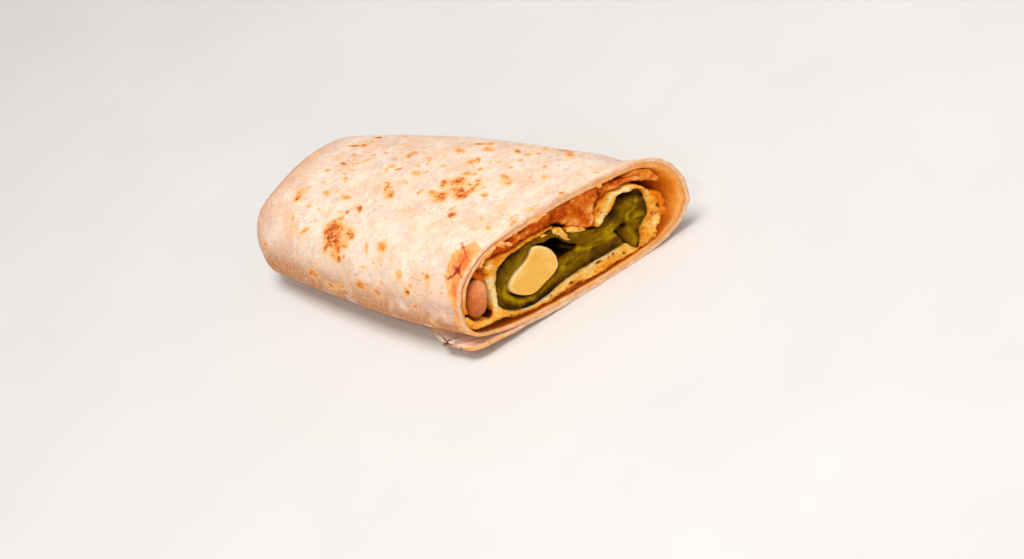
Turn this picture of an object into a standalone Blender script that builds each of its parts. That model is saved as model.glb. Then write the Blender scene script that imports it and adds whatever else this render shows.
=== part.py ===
"""Half of a rolled burrito, cut across on a slant.

A flour tortilla is wound almost two turns round a roasted green pepper that is stuffed with a
stick of cheese, coated in egg batter and covered with refried beans.  One end is folded in and
closed, the other is the slanted cut.  The half lies on its flat side.

The roll is described by its section, drawn on the cut face: `s` runs along the long side of the
cut and `z` runs up from the middle, both in millimetres.  X runs from the closed end to the cut.
"""
import math

import bmesh
import bpy
import numpy as np
from mathutils import Matrix, Vector

MM = 0.001

# ---- driving dimensions, in millimetres ----
LENGTH = 127.0                      # closed end to the middle of the cut
CUT_SLANT = math.radians(27.2)      # the far side is longer than the near side
CUT_LEAN = math.radians(1.3)        # the top is slightly longer than the bottom
SHEET = 1.15                        # thickness of the tortilla
LAYER_GAP = 0.25                    # air between two turns of the tortilla
FIT_GAP = 0.30                      # air between two neighbouring pieces
SHEET_TOLERANCE = 0.07              # straightness of the facets of the wound sheet
REST_LEVEL = -16.70                 # height of the flat underside
FOLDED_END = 13.7                   # depth of the folded-in, closed end
END_ROUND = 9.5                     # length over which the closed end rounds off
END_INSET = 6.5                     # how far the rounding draws the end in
END_DOME = 1.5                      # bulge of the folded-in flap past the end of the roll
END_WIDTH = 0.75                    # width of the closed end, as a share of the full width
END_HEIGHT = 0.80                   # height of the closed end, as a share of the full height
SEAM_FADE = (0.86, 0.98)            # share of a turn over which the end's outline closes up
TAPER = 104.0                       # distance from the closed end to full width
SWELL_FAR = 3.3                     # behind the cut the roll is this much fuller on the long side
SWELL_NEAR = 1.2                    # and this much on the short side
SWELL_DEPTH = 28.0                  # distance behind the cut at which it is full
SWELL_AT = 28.0                     # and distance along the cut face from the middle
FLARE_DEPTH = 14.0                  # the lip on the long side opens out over this distance
FLARE_OUT = 4.2                     # how far the lip opens sideways
FLARE_UP = 2.2                      # how far the lip lifts
FLARE_START = 13.0                  # the flare begins this far along the cut face
FLARE_FULL = 33.0                   # and is full here
FLARE_CURVE = 1.6                   # above 1, the lip opens late
FLARE_HIGH = 10.0                   # height above the middle at which the lift is full
FLAP_DEPTH = 32.0                   # the free edge underneath stands off over this distance
CLIMB_FROM = 0.70                   # share of a turn after which a turn climbs onto the last one
CLIMB_TO = 0.97
TURNS = 1.86                        # turns of tortilla before the free edge leaves the roll

PITCH = SHEET + LAYER_GAP
ALONG = math.cos(CUT_SLANT)         # across the roll, per unit along the cut face
END_HALF_WIDTH = 27.0               # half sizes and middle height of the closed end
END_HALF_HEIGHT = 14.2
END_MIDDLE = -2.6

# Stations along the roll: distances from the closed end, then distances behind the cut.
END_STATIONS = (0.0, 1.4, 4.2, END_ROUND)
PLUG_STATIONS = (FOLDED_END, 8.0, 3.4, 1.0)
DOME_EDGE = 0.4                     # the bulging flap starts here
DOME_STEPS = ((0.86, 0.45), (0.62, 0.8), (0.32, 1.0))       # share of the width, of the bulge
BODY_STATIONS = (20.0, 34.0, 52.0, 74.0)
FRONT_STATIONS = (SWELL_DEPTH, FLARE_DEPTH, 8.0, 3.5, 0.0)
FILLING_START = FOLDED_END + FIT_GAP
CAVITY_START = 20.0
CUTTER_REACH = 6.0                  # cutters run this far out past the cut

# ---- section outlines on the cut face, as (s, z) ----
# One closed turn of tortilla, middle of the sheet, clockwise from the left end.
TURN = [
    (-37.5, 0.5), (-36.8, 4.2), (-34.6, 8.0), (-31.0, 11.6), (-26.2, 14.5), (-20.0, 16.0),
    (-10.0, 16.7), (0.0, 16.7), (9.0, 16.1), (17.0, 14.5), (24.0, 11.8), (28.9, 8.2),
    (31.9, 3.6), (32.7, -1.8), (31.5, -7.0), (28.0, -11.2), (22.5, -13.8), (15.0, -14.9),
    (5.0, -15.0), (-6.0, -14.4), (-17.0, -13.0), (-27.0, -10.9), (-34.0, -8.6), (-37.3, -6.3),
    (-38.2, -3.0),
]
# The free edge of the tortilla, lying against the roll and standing off near the cut.
FLAP_SHUT = [(-28.5, -13.3), (-32.5, -12.6), (-36.5, -11.3)]
FLAP_OPEN = [(-30.0, -13.5), (-35.4, -12.6), (-40.6, -11.3)]

PEPPER = [
    (-28.7, -3.2), (-27.9, -0.2), (-27.0, 2.6), (-25.7, 5.4), (-24.0, 7.9), (-21.5, 9.3),
    (-18.0, 10.0), (-14.0, 10.3), (-10.5, 10.3), (-7.0, 9.9), (-4.0, 9.9), (-1.6, 9.2),
    (0.2, 7.4), (2.2, 5.5), (5.0, 3.4), (9.0, 1.3), (12.0, 2.3), (15.0, 4.1), (17.0, 5.6),
    (18.4, 7.2), (20.2, 7.4), (22.2, 6.4), (23.8, 6.2), (25.2, 4.6), (25.5, 1.6), (25.1, -1.2),
    (24.2, -3.6), (22.2, -5.2), (20.1, -6.8), (19.0, -9.4), (18.2, -11.4), (17.4, -12.7),
    (16.3, -11.9), (15.5, -9.6), (15.1, -7.0), (15.2, -4.6), (16.5, -2.6), (14.8, -2.2),
    (13.0, -2.9), (13.5, -5.0), (14.1, -7.4), (13.4, -8.7), (9.0, -8.5), (3.0, -8.4),
    (-3.0, -8.0), (-8.0, -8.6), (-14.0, -9.6), (-19.5, -9.9), (-23.5, -8.8), (-26.8, -6.5),
]
FOLD_MOUTH = ((15.5, -9.6), (13.4, -8.7))      # the folded tip of the pepper leaves a slit here
CAVITY = [
    (-24.5, -0.8), (-23.9, 1.7), (-21.8, 3.4), (-18.8, 5.1), (-15.9, 5.8), (-13.6, 6.8),
    (-12.1, 8.2), (-10.5, 8.8), (-8.8, 8.2), (-7.3, 7.6), (-5.2, 7.5), (-3.2, 6.4), (-2.0, 4.2),
    (-0.4, 2.0), (1.5, 0.1), (0.2, -0.9), (-2.6, -0.7), (-5.0, -1.9), (-7.4, -3.8),
    (-10.0, -4.8), (-13.0, -5.8), (-16.0, -6.6), (-18.4, -6.8), (-20.9, -5.9), (-23.4, -3.9),
]
CHEESE = [
    (-23.6, -0.6), (-23.1, 1.2), (-21.6, 2.7), (-19.6, 4.0), (-16.5, 5.0), (-14.0, 5.9),
    (-12.4, 7.2), (-10.9, 8.3), (-9.4, 7.8), (-7.8, 6.4), (-6.6, 4.3), (-6.1, 1.8), (-6.3, -0.7),
    (-7.3, -2.7), (-9.2, -3.9), (-13.0, -5.1), (-16.0, -6.0), (-18.2, -6.1), (-20.3, -5.1),
    (-22.3, -3.3),
]
# Outer side of the batter coat, from its edge on top of the pepper, round the left end and the
# curled hook, along the bottom and up the long side to its edge in the dip of the pepper.
BATTER = [
    (-2.6, 10.5), (-6.0, 11.1), (-12.0, 11.4), (-19.0, 11.5), (-23.6, 12.1), (-25.8, 11.1),
    (-27.0, 8.4), (-28.0, 5.4), (-29.1, 2.5), (-30.0, -0.4), (-31.2, -2.6), (-33.5, -3.9),
    (-35.6, -3.4), (-36.7, -1.8), (-37.5, -0.5), (-38.6, -1.0), (-38.9, -3.0), (-38.1, -5.2),
    (-35.8, -6.9), (-32.0, -7.7), (-28.4, -8.3), (-25.2, -9.9), (-21.0, -11.2), (-15.0, -12.0),
    (-9.0, -12.3), (-4.0, -12.3), (0.0, -12.9), (5.0, -13.6), (10.0, -13.5), (15.0, -13.7),
    (19.0, -13.9), (22.6, -12.6), (24.2, -10.4), (26.6, -8.8), (29.2, -7.0), (30.6, -4.2),
    (30.6, -1.2), (29.2, 1.8), (27.4, 4.2), (26.4, 6.2), (24.6, 8.0), (21.0, 9.0), (16.5, 9.4),
    (12.6, 8.9), (11.0, 7.2), (10.2, 4.8), (9.2, 2.4),
]
BEANS = [
    (27.6, 8.9), (24.6, 11.4), (19.0, 13.6), (13.0, 15.2), (5.0, 16.2), (-5.0, 16.2),
    (-14.0, 15.9), (-21.0, 15.2), (-27.0, 12.7), (-32.0, 9.4), (-35.6, 5.6), (-37.2, 1.6),
    (-36.6, -1.0), (-35.4, -2.8), (-33.4, -3.3), (-31.6, -2.1), (-30.3, 0.2), (-29.4, 2.8),
    (-28.4, 5.6), (-27.4, 8.8), (-26.3, 11.6), (-23.8, 12.8), (-19.0, 12.2), (-12.0, 12.0),
    (-6.0, 11.8), (-2.6, 11.4), (-0.8, 10.2), (1.2, 8.0), (3.2, 6.0), (6.0, 3.6), (8.6, 2.4),
    (9.7, 4.6), (10.4, 7.2), (12.2, 9.6), (16.5, 10.1), (21.5, 9.7), (25.2, 8.6), (26.6, 7.6),
]
# The open pocket near the cut in which the whole bean lies.
POCKET = [
    (-26.4, 1.5), (-26.2, 7.0), (-28.0, 8.9), (-30.2, 10.2), (-33.0, 12.0), (-38.0, 11.0),
    (-41.0, 3.0), (-40.0, -4.0), (-35.0, -7.0), (-29.0, -5.0),
]
POCKET_DEPTH = 12.0
BEAN_CENTRE = (-32.5, 3.5)
BEAN_LONG = 5.9
BEAN_SHORT = 3.2
BEAN_DEEP = 4.2
BEAN_TILT = math.radians(61.0)
BEAN_BEHIND = 3.8                   # its middle lies this far behind the cut
BEAN_DIMPLE = 0.5                   # depth of the dent in its inner side
BEAN_DIMPLE_REACH = 0.45            # length of the dent, as a share of the bean's half length
BEAN_FACETS = (22, 12)              # round the bean and along it

# How far each filling stands back from the plane of the cut.
SETBACK = {"refried_beans": 0.6, "egg_batter": 0.8, "pepper": 0.3, "cheese": 0.0}


# ---- plane curves ----
def smooth(points, closed, per=24):
    """Dense centripetal Catmull-Rom curve through the points."""
    p = np.array(points, float)
    if closed:
        p = np.vstack([p[-1], p, p[0], p[1]])
    else:
        p = np.vstack([2 * p[0] - p[1], p, 2 * p[-1] - p[-2]])
    spans = []
    for i in range(len(p) - 3):
        p0, p1, p2, p3 = p[i:i + 4]
        t0 = 0.0
        t1 = t0 + math.sqrt(np.linalg.norm(p1 - p0))
        t2 = t1 + math.sqrt(np.linalg.norm(p2 - p1))
        t3 = t2 + math.sqrt(np.linalg.norm(p3 - p2))
        t = np.linspace(t1, t2, per, endpoint=False)[:, None]
        a1 = (t1 - t) / (t1 - t0) * p0 + (t - t0) / (t1 - t0) * p1
        a2 = (t2 - t) / (t2 - t1) * p1 + (t - t1) / (t2 - t1) * p2
        a3 = (t3 - t) / (t3 - t2) * p2 + (t - t2) / (t3 - t2) * p3
        b1 = (t2 - t) / (t2 - t0) * a1 + (t - t0) / (t2 - t0) * a2
        b2 = (t3 - t) / (t3 - t1) * a2 + (t - t1) / (t3 - t1) * a3
        spans.append((t2 - t) / (t2 - t1) * b1 + (t - t1) / (t2 - t1) * b2)
    curve = np.vstack(spans)
    return curve if closed else np.vstack([curve, p[-2]])


def thinned(curve, closed, tolerance=0.12):
    """The fewest points of a dense curve that stay within the tolerance of it."""
    last = len(curve) if closed else len(curve) - 1
    line = np.vstack([curve, curve[:1]]) if closed else curve
    far = int(np.linalg.norm(curve - curve[0], axis=1).argmax()) if closed else last
    kept = {0, far}
    spans = [(0, far), (far, last)] if closed else [(0, last)]
    while spans:
        first, final = spans.pop()
        if final - first < 2:
            continue
        run = line[final] - line[first]
        between = line[first + 1:final] - line[first]
        share = np.clip(between @ run / max(run @ run, 1e-12), 0.0, 1.0)
        error = np.linalg.norm(between - share[:, None] * run, axis=1)
        worst = int(error.argmax())
        if error[worst] > tolerance:
            split = first + 1 + worst
            kept.add(split)
            spans += [(first, split), (split, final)]
    return curve[sorted(k for k in kept if k < len(curve))]


def is_inside(point, outline):
    ahead = np.roll(outline, -1, 0)
    crosses = (outline[:, 1] > point[1]) != (ahead[:, 1] > point[1])
    rise = np.where(ahead[:, 1] == outline[:, 1], 1e-12, ahead[:, 1] - outline[:, 1])
    at = outline[:, 0] + (point[1] - outline[:, 1]) / rise * (ahead[:, 0] - outline[:, 0])
    return bool(np.count_nonzero(crosses & (point[0] < at)) % 2)


def settle(points, outline, clearance, within=False):
    """Press points back until they stand `clearance` outside (or within) a closed outline."""
    run = np.roll(outline, -1, 0) - outline
    square = np.maximum((run * run).sum(1), 1e-12)
    area = np.sum(outline[:, 0] * run[:, 1] - outline[:, 1] * run[:, 0])
    sideways = np.stack([run[:, 1], -run[:, 0]], 1) * math.copysign(1.0, area)
    if within:
        sideways = -sideways
    result = points.copy()
    for i, point in enumerate(points):
        share = np.clip(((point - outline) * run).sum(1) / square, 0.0, 1.0)
        near = outline + share[:, None] * run
        apart = np.linalg.norm(point - near, axis=1)
        j = int(apart.argmin())
        right_side = is_inside(point, outline) == within
        if right_side and apart[j] >= clearance:
            continue
        away = (point - near[j]) if right_side else (near[j] - point)
        if apart[j] < 1e-6:
            away = sideways[j]
        result[i] = near[j] + away / np.linalg.norm(away) * clearance
    return result


def offset(path, distance):
    """Move an open path sideways, to the left of its direction."""
    ahead = np.gradient(path, axis=0)
    ahead /= np.linalg.norm(ahead, axis=1)[:, None]
    return path + np.stack([-ahead[:, 1], ahead[:, 0]], 1) * distance


# ---- section of the tortilla ----
def climb(turn):
    """Layers between the first turn and this one: whole turns, with a smooth climb."""
    share = np.clip((turn % 1.0 - CLIMB_FROM) / (CLIMB_TO - CLIMB_FROM), 0.0, 1.0)
    return np.floor(turn) + share * share * (3.0 - 2.0 * share)


def wound(turn, layers):
    """Points at a number of turns along the closed turn, lifted outwards by whole layers."""
    loop = smooth(TURN, True, 30)
    line = np.vstack([loop, loop[:1]])
    run = np.concatenate([[0.0], np.cumsum(np.linalg.norm(np.diff(line, axis=0), axis=1))])

    def at(share):
        d = (share % 1.0) * run[-1]
        return np.stack([np.interp(d, run, line[:, 0]), np.interp(d, run, line[:, 1])], 1)

    nearby = 0.6 / run[-1]
    ahead = at(turn + nearby) - at(turn - nearby)
    ahead /= np.linalg.norm(ahead, axis=1)[:, None]
    outward = np.stack([-ahead[:, 1], ahead[:, 0]], 1)
    return at(turn) + outward * (PITCH * layers)[:, None]


def sheet_middle(stand_off):
    """Middle of the sheet from its inner edge to its free edge."""
    turn = np.linspace(0.0, TURNS, 900)
    path = wound(turn, climb(turn))
    tail = np.array(FLAP_SHUT) * (1.0 - stand_off) + np.array(FLAP_OPEN) * stand_off
    last = path[-60::20]
    return np.vstack([path[:-60], smooth(np.vstack([last, tail]), False)])


def sheet_outline(stand_off, shares):
    """Closed outline of the wound sheet at the given shares of its length."""
    path = sheet_middle(stand_off)
    outer = offset(path, SHEET / 2)
    inner = offset(path, -SHEET / 2)
    run = np.concatenate([[0.0], np.cumsum(np.linalg.norm(np.diff(path, axis=0), axis=1))])
    at = shares * run[-1]
    rows = []
    for side in (outer, inner):
        rows.append(np.stack([np.interp(at, run, side[:, 0]), np.interp(at, run, side[:, 1])], 1))
    return np.vstack([rows[0], rows[1][::-1]])


def sheet_shares():
    """Shares of the sheet's length at which its outline is sampled."""
    path = sheet_middle(0.0)
    run = np.concatenate([[0.0], np.cumsum(np.linalg.norm(np.diff(path, axis=0), axis=1))])
    picked = thinned(path, False, SHEET_TOLERANCE)
    index = [int(np.linalg.norm(path - point, axis=1).argmin()) for point in picked]
    return run[index] / run[-1]


def room():
    """Closed outline of the space inside the tortilla."""
    turn = np.linspace(0.0, 1.0, 500)
    return offset(wound(turn, climb(turn)), -SHEET / 2)


def plug_outline():
    """Closed outline of the folded-in end, along the middle of the outermost layer."""
    turn = np.linspace(0.0, 1.0, 400, endpoint=False)
    fade = np.clip((turn - SEAM_FADE[0]) / (SEAM_FADE[1] - SEAM_FADE[0]), 0.0, 1.0)
    return thinned(wound(turn, 1.0 + climb(turn) * (1.0 - fade)), True)


# ---- from the section to the roll ----
def cut_x(y, z):
    return LENGTH + y * math.tan(CUT_SLANT) + z * math.tan(CUT_LEAN)


def swollen(s, behind):
    """The section grows fuller at both sides behind the cut."""
    share = np.clip(behind / SWELL_DEPTH, 0.0, 1.0)
    share = share * share * (3.0 - 2.0 * share)
    far = SWELL_FAR * np.clip(s / SWELL_AT, 0.0, 1.0) ** 2
    near = SWELL_NEAR * np.clip(-s / SWELL_AT, 0.0, 1.0) ** 2
    return s + share * (far - near)


def tapered(x, y, z):
    """Draw the section in towards the closed end, keeping the underside flat."""
    rest = np.clip(1.0 - x / TAPER, 0.0, None) ** 2
    y = y * (1.0 - (1.0 - END_WIDTH) * rest)
    z = REST_LEVEL + (z - REST_LEVEL) * (1.0 - (1.0 - END_HEIGHT) * rest)
    return np.stack([x, y, z], 1)


def body_ring(outline, x, rounded=True):
    """The section square across the roll, at a distance from the closed end."""
    y = swollen(outline[:, 0], SWELL_DEPTH) * ALONG
    ring = tapered(np.full(len(y), x), y, np.maximum(outline[:, 1], REST_LEVEL))
    if rounded and x < END_ROUND:
        inset = END_INSET * (1.0 - math.sqrt(1.0 - (1.0 - max(x, 0.0) / END_ROUND) ** 2))
        ring[:, 1] *= 1.0 - inset / END_HALF_WIDTH
        ring[:, 2] = END_MIDDLE + (ring[:, 2] - END_MIDDLE) * (1.0 - inset / END_HALF_HEIGHT)
    return ring


def front_ring(outline, behind, flared=False):
    """The section on a plane parallel to the cut, a distance behind it."""
    s, z = swollen(outline[:, 0], behind), np.maximum(outline[:, 1], REST_LEVEL)
    if flared:
        side = (outline[:, 0] - FLARE_START) / (FLARE_FULL - FLARE_START)
        side = np.clip(side, 0.0, 1.0)
        side = side * side * (3.0 - 2.0 * side)
        opened = side * max(0.0, 1.0 - behind / FLARE_DEPTH) ** FLARE_CURVE
        s = s + FLARE_OUT * opened
        z = z + FLARE_UP * opened * np.clip(z / FLARE_HIGH, 0.0, 1.0)
    y = s * ALONG
    return tapered(cut_x(y, z) - behind, y, z)


def filling_rings(outline, start, setback):
    """Rings of a filling, from its inner end to its setback behind the cut."""
    rings = [body_ring(outline, start, False)]
    rings += [body_ring(outline, x, False) for x in BODY_STATIONS]
    rings += [front_ring(outline, behind) for behind in (SWELL_DEPTH, FLARE_DEPTH, setback)]
    return rings


# ---- objects ----
def loft(name, rings):
    """A closed solid through rings of equally many points, with flat ends."""
    count = len(rings[0])
    shape = bmesh.new()
    rows = [[shape.verts.new(Vector(p) * MM) for p in ring.tolist()] for ring in rings]
    for near, far in zip(rows, rows[1:]):
        for i in range(count):
            j = (i + 1) % count
            shape.faces.new((near[i], near[j], far[j], far[i]))
    ends = [shape.faces.new(rows[0]), shape.faces.new(rows[-1])]
    shape.normal_update()
    bmesh.ops.triangulate(shape, faces=ends, ngon_method="EAR_CLIP")
    bmesh.ops.recalc_face_normals(shape, faces=shape.faces)
    mesh = bpy.data.meshes.new(name)
    shape.to_mesh(mesh)
    shape.free()
    return bpy.data.objects.new(name, mesh)


def dressed(piece, group, colour, roughness):
    """Give a piece its material and put it in its collection."""
    material = bpy.data.materials.new(piece.name)
    material.use_nodes = True
    shader = material.node_tree.nodes["Principled BSDF"]
    linear = [(c / 255.0) ** 2.2 for c in colour]
    shader.inputs["Base Color"].default_value = (*linear, 1.0)
    shader.inputs["Roughness"].default_value = roughness
    shader.inputs["Metallic"].default_value = 0.0
    piece.data.materials.append(material)
    for face in piece.data.polygons:
        face.use_smooth = True
    group.objects.link(piece)
    return piece


def as_cutter(piece, group):
    piece.hide_render = True
    piece.display_type = "WIRE"
    group.objects.link(piece)
    return piece


def combine(piece, other, operation):
    step = piece.modifiers.new(other.name, "BOOLEAN")
    step.operation = operation
    step.solver = "EXACT"
    step.object = other


def whole_bean():
    """A smooth kidney-shaped bean lying in the plane of the cut."""
    shape = bmesh.new()
    around, along_it = BEAN_FACETS
    bmesh.ops.create_uvsphere(shape, u_segments=around, v_segments=along_it, radius=1.0)
    along = Vector((math.sin(CUT_SLANT), math.cos(CUT_SLANT), 0.0))
    up = Vector((math.sin(CUT_LEAN), 0.0, 1.0))
    long_way = along * math.cos(BEAN_TILT) + up * math.sin(BEAN_TILT)
    short_way = up * math.cos(BEAN_TILT) - along * math.sin(BEAN_TILT)
    y, z = BEAN_CENTRE[0] * ALONG, BEAN_CENTRE[1]
    centre = Vector((cut_x(y, z) - BEAN_BEHIND, y, z))
    for vertex in shape.verts:
        deep, wide, far = vertex.co
        dent = BEAN_DIMPLE * max(0.0, -wide) * math.exp(-(far / BEAN_DIMPLE_REACH) ** 2)
        place = centre + long_way * (far * BEAN_LONG)
        place += short_way * (wide * BEAN_SHORT + dent) + Vector((deep * BEAN_DEEP, 0.0, 0.0))
        vertex.co = place * MM
    shape.normal_update()
    bmesh.ops.recalc_face_normals(shape, faces=shape.faces)
    mesh = bpy.data.meshes.new("pinto_bean")
    shape.to_mesh(mesh)
    shape.free()
    return bpy.data.objects.new("pinto_bean", mesh)


def tortilla_rings():
    """Rings of the wound sheet, whose free edge stands off more and more near the cut."""
    shares = sheet_shares()
    shut = sheet_outline(0.0, shares)
    rings = [body_ring(shut, x) for x in END_STATIONS + BODY_STATIONS]
    for behind in FRONT_STATIONS:
        stand_off = max(0.0, 1.0 - behind / FLAP_DEPTH)
        outline = sheet_outline(stand_off * stand_off, shares)
        rings.append(front_ring(outline, behind, True))
    return rings


def plug_rings():
    """The folded-in end: a plug that ends in a slightly bulging flap."""
    outline = plug_outline()
    rings = [body_ring(outline, x) for x in PLUG_STATIONS]
    last = rings[-1]
    for share, bulge in DOME_STEPS:
        ring = last.copy()
        ring[:, 0] = DOME_EDGE - END_DOME * bulge
        ring[:, 1] = last[:, 1] * share
        ring[:, 2] = END_MIDDLE + (last[:, 2] - END_MIDDLE) * share
        rings.append(ring)
    return rings


def batter_outline(pepper, space):
    """The coat: its own outer side, then back along the pepper it covers."""
    def nearest(point):
        return int(np.linalg.norm(pepper - np.array(point), axis=1).argmin())

    def walk(first, last):
        a, b = nearest(first), nearest(last)
        steps = (b - a) % len(pepper)
        return pepper[[(a + k) % len(pepper) for k in range(steps + 1)]]

    down = walk(BATTER[-1], FOLD_MOUTH[0])
    back = walk(FOLD_MOUTH[1], BATTER[0])
    outline = np.vstack([smooth(BATTER, False), down, back])
    outline = settle(outline, thinned(pepper, True), FIT_GAP)
    return thinned(settle(outline, space, FIT_GAP, within=True), True)


def build():
    for old in list(bpy.data.objects):
        bpy.data.objects.remove(old, do_unlink=True)
    group = bpy.data.collections.new("burrito_half")
    tools = bpy.data.collections.new("cutters")
    for collection in (group, tools):
        bpy.context.scene.collection.children.link(collection)

    space = room()
    pepper_curve = smooth(PEPPER, True)
    pepper_outline = thinned(pepper_curve, True)
    cavity = thinned(smooth(CAVITY, True), True)
    batter = batter_outline(pepper_curve, space)
    cheese = thinned(settle(smooth(CHEESE, True), cavity, FIT_GAP, within=True), True)
    beans = settle(smooth(BEANS, True), pepper_outline, FIT_GAP)
    beans = settle(beans, batter, FIT_GAP)
    beans = thinned(settle(beans, space, FIT_GAP, within=True), True)

    tortilla = dressed(loft("tortilla", tortilla_rings()), group, (246, 219, 193), 0.75)
    plug = as_cutter(loft("folded_end", plug_rings()), tools)
    combine(tortilla, plug, "UNION")

    setback = SETBACK["pepper"]
    rings = filling_rings(pepper_outline, FILLING_START, setback)
    pepper = dressed(loft("pepper", rings), group, (120, 88, 12), 0.35)
    rings = filling_rings(cavity, CAVITY_START, -CUTTER_REACH)
    combine(pepper, as_cutter(loft("pepper_cavity", rings[:1] + rings[2:]), tools), "DIFFERENCE")

    rings = filling_rings(cheese, CAVITY_START + FIT_GAP, SETBACK["cheese"])
    dressed(loft("cheese", rings[:1] + rings[2:]), group, (248, 184, 84), 0.45)

    rings = filling_rings(batter, FILLING_START, SETBACK["egg_batter"])
    dressed(loft("egg_batter", rings), group, (246, 178, 92), 0.6)

    rings = filling_rings(beans, FILLING_START, SETBACK["refried_beans"])
    refried = dressed(loft("refried_beans", rings), group, (186, 84, 18), 0.55)
    pocket = thinned(smooth(POCKET, True), True)
    ends = [front_ring(pocket, POCKET_DEPTH), front_ring(pocket, -CUTTER_REACH)]
    combine(refried, as_cutter(loft("bean_pocket", ends), tools), "DIFFERENCE")

    dressed(whole_bean(), group, (208, 124, 74), 0.4)
    return group, tools


def stand_on_origin(group, tools):
    """Put the middle of the bounding box above the origin and the flat side at height zero."""
    depsgraph = bpy.context.evaluated_depsgraph_get()
    corners = []
    for piece in group.objects:
        mesh = piece.evaluated_get(depsgraph).data
        flat = np.empty(len(mesh.vertices) * 3)
        mesh.vertices.foreach_get("co", flat)
        corners.append(flat.reshape(-1, 3))
    cloud = np.vstack(corners)
    low, high = cloud.min(0), cloud.max(0)
    shift = Vector((-(low[0] + high[0]) / 2, -(low[1] + high[1]) / 2, -low[2]))
    for piece in list(group.objects) + list(tools.objects):
        piece.data.transform(Matrix.Translation(shift))


burrito, cutters = build()
stand_on_origin(burrito, cutters)
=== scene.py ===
"""Looks of a burrito half: skin, cut face and fillings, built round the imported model.

The roll is described by its section, drawn on the cut face: `s` runs along the long side of the
cut and `z` runs up from the middle, in millimetres.  X runs from the closed end to the cut.
Positions on the skin are (x, arc): millimetres along the roll, and round it from the near edge
over the top.
"""
import math

import bmesh
import bpy
import numpy as np
from mathutils import Matrix, Vector, geometry


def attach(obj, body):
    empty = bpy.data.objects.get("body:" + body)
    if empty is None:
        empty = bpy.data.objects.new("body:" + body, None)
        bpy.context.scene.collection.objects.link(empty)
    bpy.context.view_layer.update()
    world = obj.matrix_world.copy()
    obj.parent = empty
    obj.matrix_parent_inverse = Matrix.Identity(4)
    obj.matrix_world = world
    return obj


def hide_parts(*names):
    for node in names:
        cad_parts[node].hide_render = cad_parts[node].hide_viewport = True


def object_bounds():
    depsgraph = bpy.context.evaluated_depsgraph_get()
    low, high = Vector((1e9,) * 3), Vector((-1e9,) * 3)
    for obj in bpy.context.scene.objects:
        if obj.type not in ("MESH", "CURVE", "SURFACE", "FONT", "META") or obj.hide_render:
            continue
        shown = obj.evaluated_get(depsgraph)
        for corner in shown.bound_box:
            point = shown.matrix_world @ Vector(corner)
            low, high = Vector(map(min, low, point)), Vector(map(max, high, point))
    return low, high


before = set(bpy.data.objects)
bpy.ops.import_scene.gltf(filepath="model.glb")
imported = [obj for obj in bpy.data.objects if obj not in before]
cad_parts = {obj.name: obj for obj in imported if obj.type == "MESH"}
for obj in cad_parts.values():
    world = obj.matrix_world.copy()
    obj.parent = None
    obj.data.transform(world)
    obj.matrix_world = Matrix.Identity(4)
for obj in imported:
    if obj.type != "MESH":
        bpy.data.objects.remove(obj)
cad_low, cad_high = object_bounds()

MM = 0.001

# ---- dimensions of the roll, in millimetres ----
LENGTH = 127.0                      # closed end to the middle of the cut
CUT_SLANT = math.radians(27.2)
CUT_LEAN = math.radians(1.3)
SHEET = 1.15                        # thickness of the tortilla
LAYER_GAP = 0.25                    # air between two turns
REST_LEVEL = -16.70                 # height of the flat underside
FOLDED_END = 13.7                   # depth of the tucked-in end
END_ROUND, END_INSET = 9.5, 6.5     # length and depth of the rounding at the closed end
END_DOME, DOME_EDGE = 1.5, 0.4
END_WIDTH, END_HEIGHT = 0.75, 0.80  # size of the closed end as a share of the cut
TAPER = 104.0                       # the roll narrows from here to the closed end
SWELL_FAR, SWELL_NEAR = 3.3, 1.2    # the sides swell out behind the cut
SWELL_AT, SWELL_DEPTH = 28.0, 28.0
FLARE_DEPTH = 14.0                  # the lip flares over this last stretch
FLARE_OUT, FLARE_UP = 4.2, 2.2
FLARE_START, FLARE_FULL, FLARE_HIGH = 13.0, 33.0, 10.0
FLARE_CURVE = 1.6
FLAP_FULL, FLAP_SHUT_AT = 12.0, 18.0    # the free edge stands off, then closes, behind the cut
CLIMB_FROM, CLIMB_TO = 0.70, 0.97   # share of a turn over which the sheet climbs a layer
TURNS = 1.86
SEAM_FADE = (0.86, 0.98)
PITCH = SHEET + LAYER_GAP
ALONG = math.cos(CUT_SLANT)
END_HALF_WIDTH, END_HALF_HEIGHT, END_MIDDLE = 27.0, 14.2, -2.6
BODY_LAST = 74.0                    # the last section square across the roll
FILLING_START = FOLDED_END + 0.3
CAVITY_START = 20.0
TOUCH = 0.07                        # gap between fillings that touch
DRAWN_IN = 1.1                      # how far the fillings' left ends are drawn in
RIM_ROUND = 0.30                    # the cut edge of the sheet is rounded this far
PRESSED_LAYERS = 0.124              # how far each side fills the air between pressed turns
RIM_PRESSED = 0.88                  # how much flatter the rim is where two turns touch
PRESSED_REACH = 14.0                # the turns touch this far behind the cut
HIDDEN_TURNS = 0.80                 # the first of the turns, under the outer one
RIM_ANGLES = (25, 58, 90, 122, 155)
FLOOR_GAP = 0.00004                 # metres between the floor and the flat underside
FLAP_CORNER = 3.0                   # radius of the corner of the free edge
WALL_ROWS = (0.6, 1.4, 2.6, 4.2, 6.5, 9.5, 14.0, 20.0)    # rows of a filling's wall behind its face
MERGE = 1e-7                        # points closer than this are one
SHEET_POINTS = 900                  # points along the middle of the sheet
TAIL_POINTS = 60                    # the last of them, which the free edge stands in for
LAST_WOUND = SHEET_POINTS - TAIL_POINTS - 1
FAR_BACK = 60.0                     # stands for the distance behind the cut where it no longer matters
SKIN_REACH = 14.0                   # the inner side has fine rows this far behind the cut
INNER_TURN = -20.0                  # arcs below this belong to the turn inside the outer one

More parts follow.
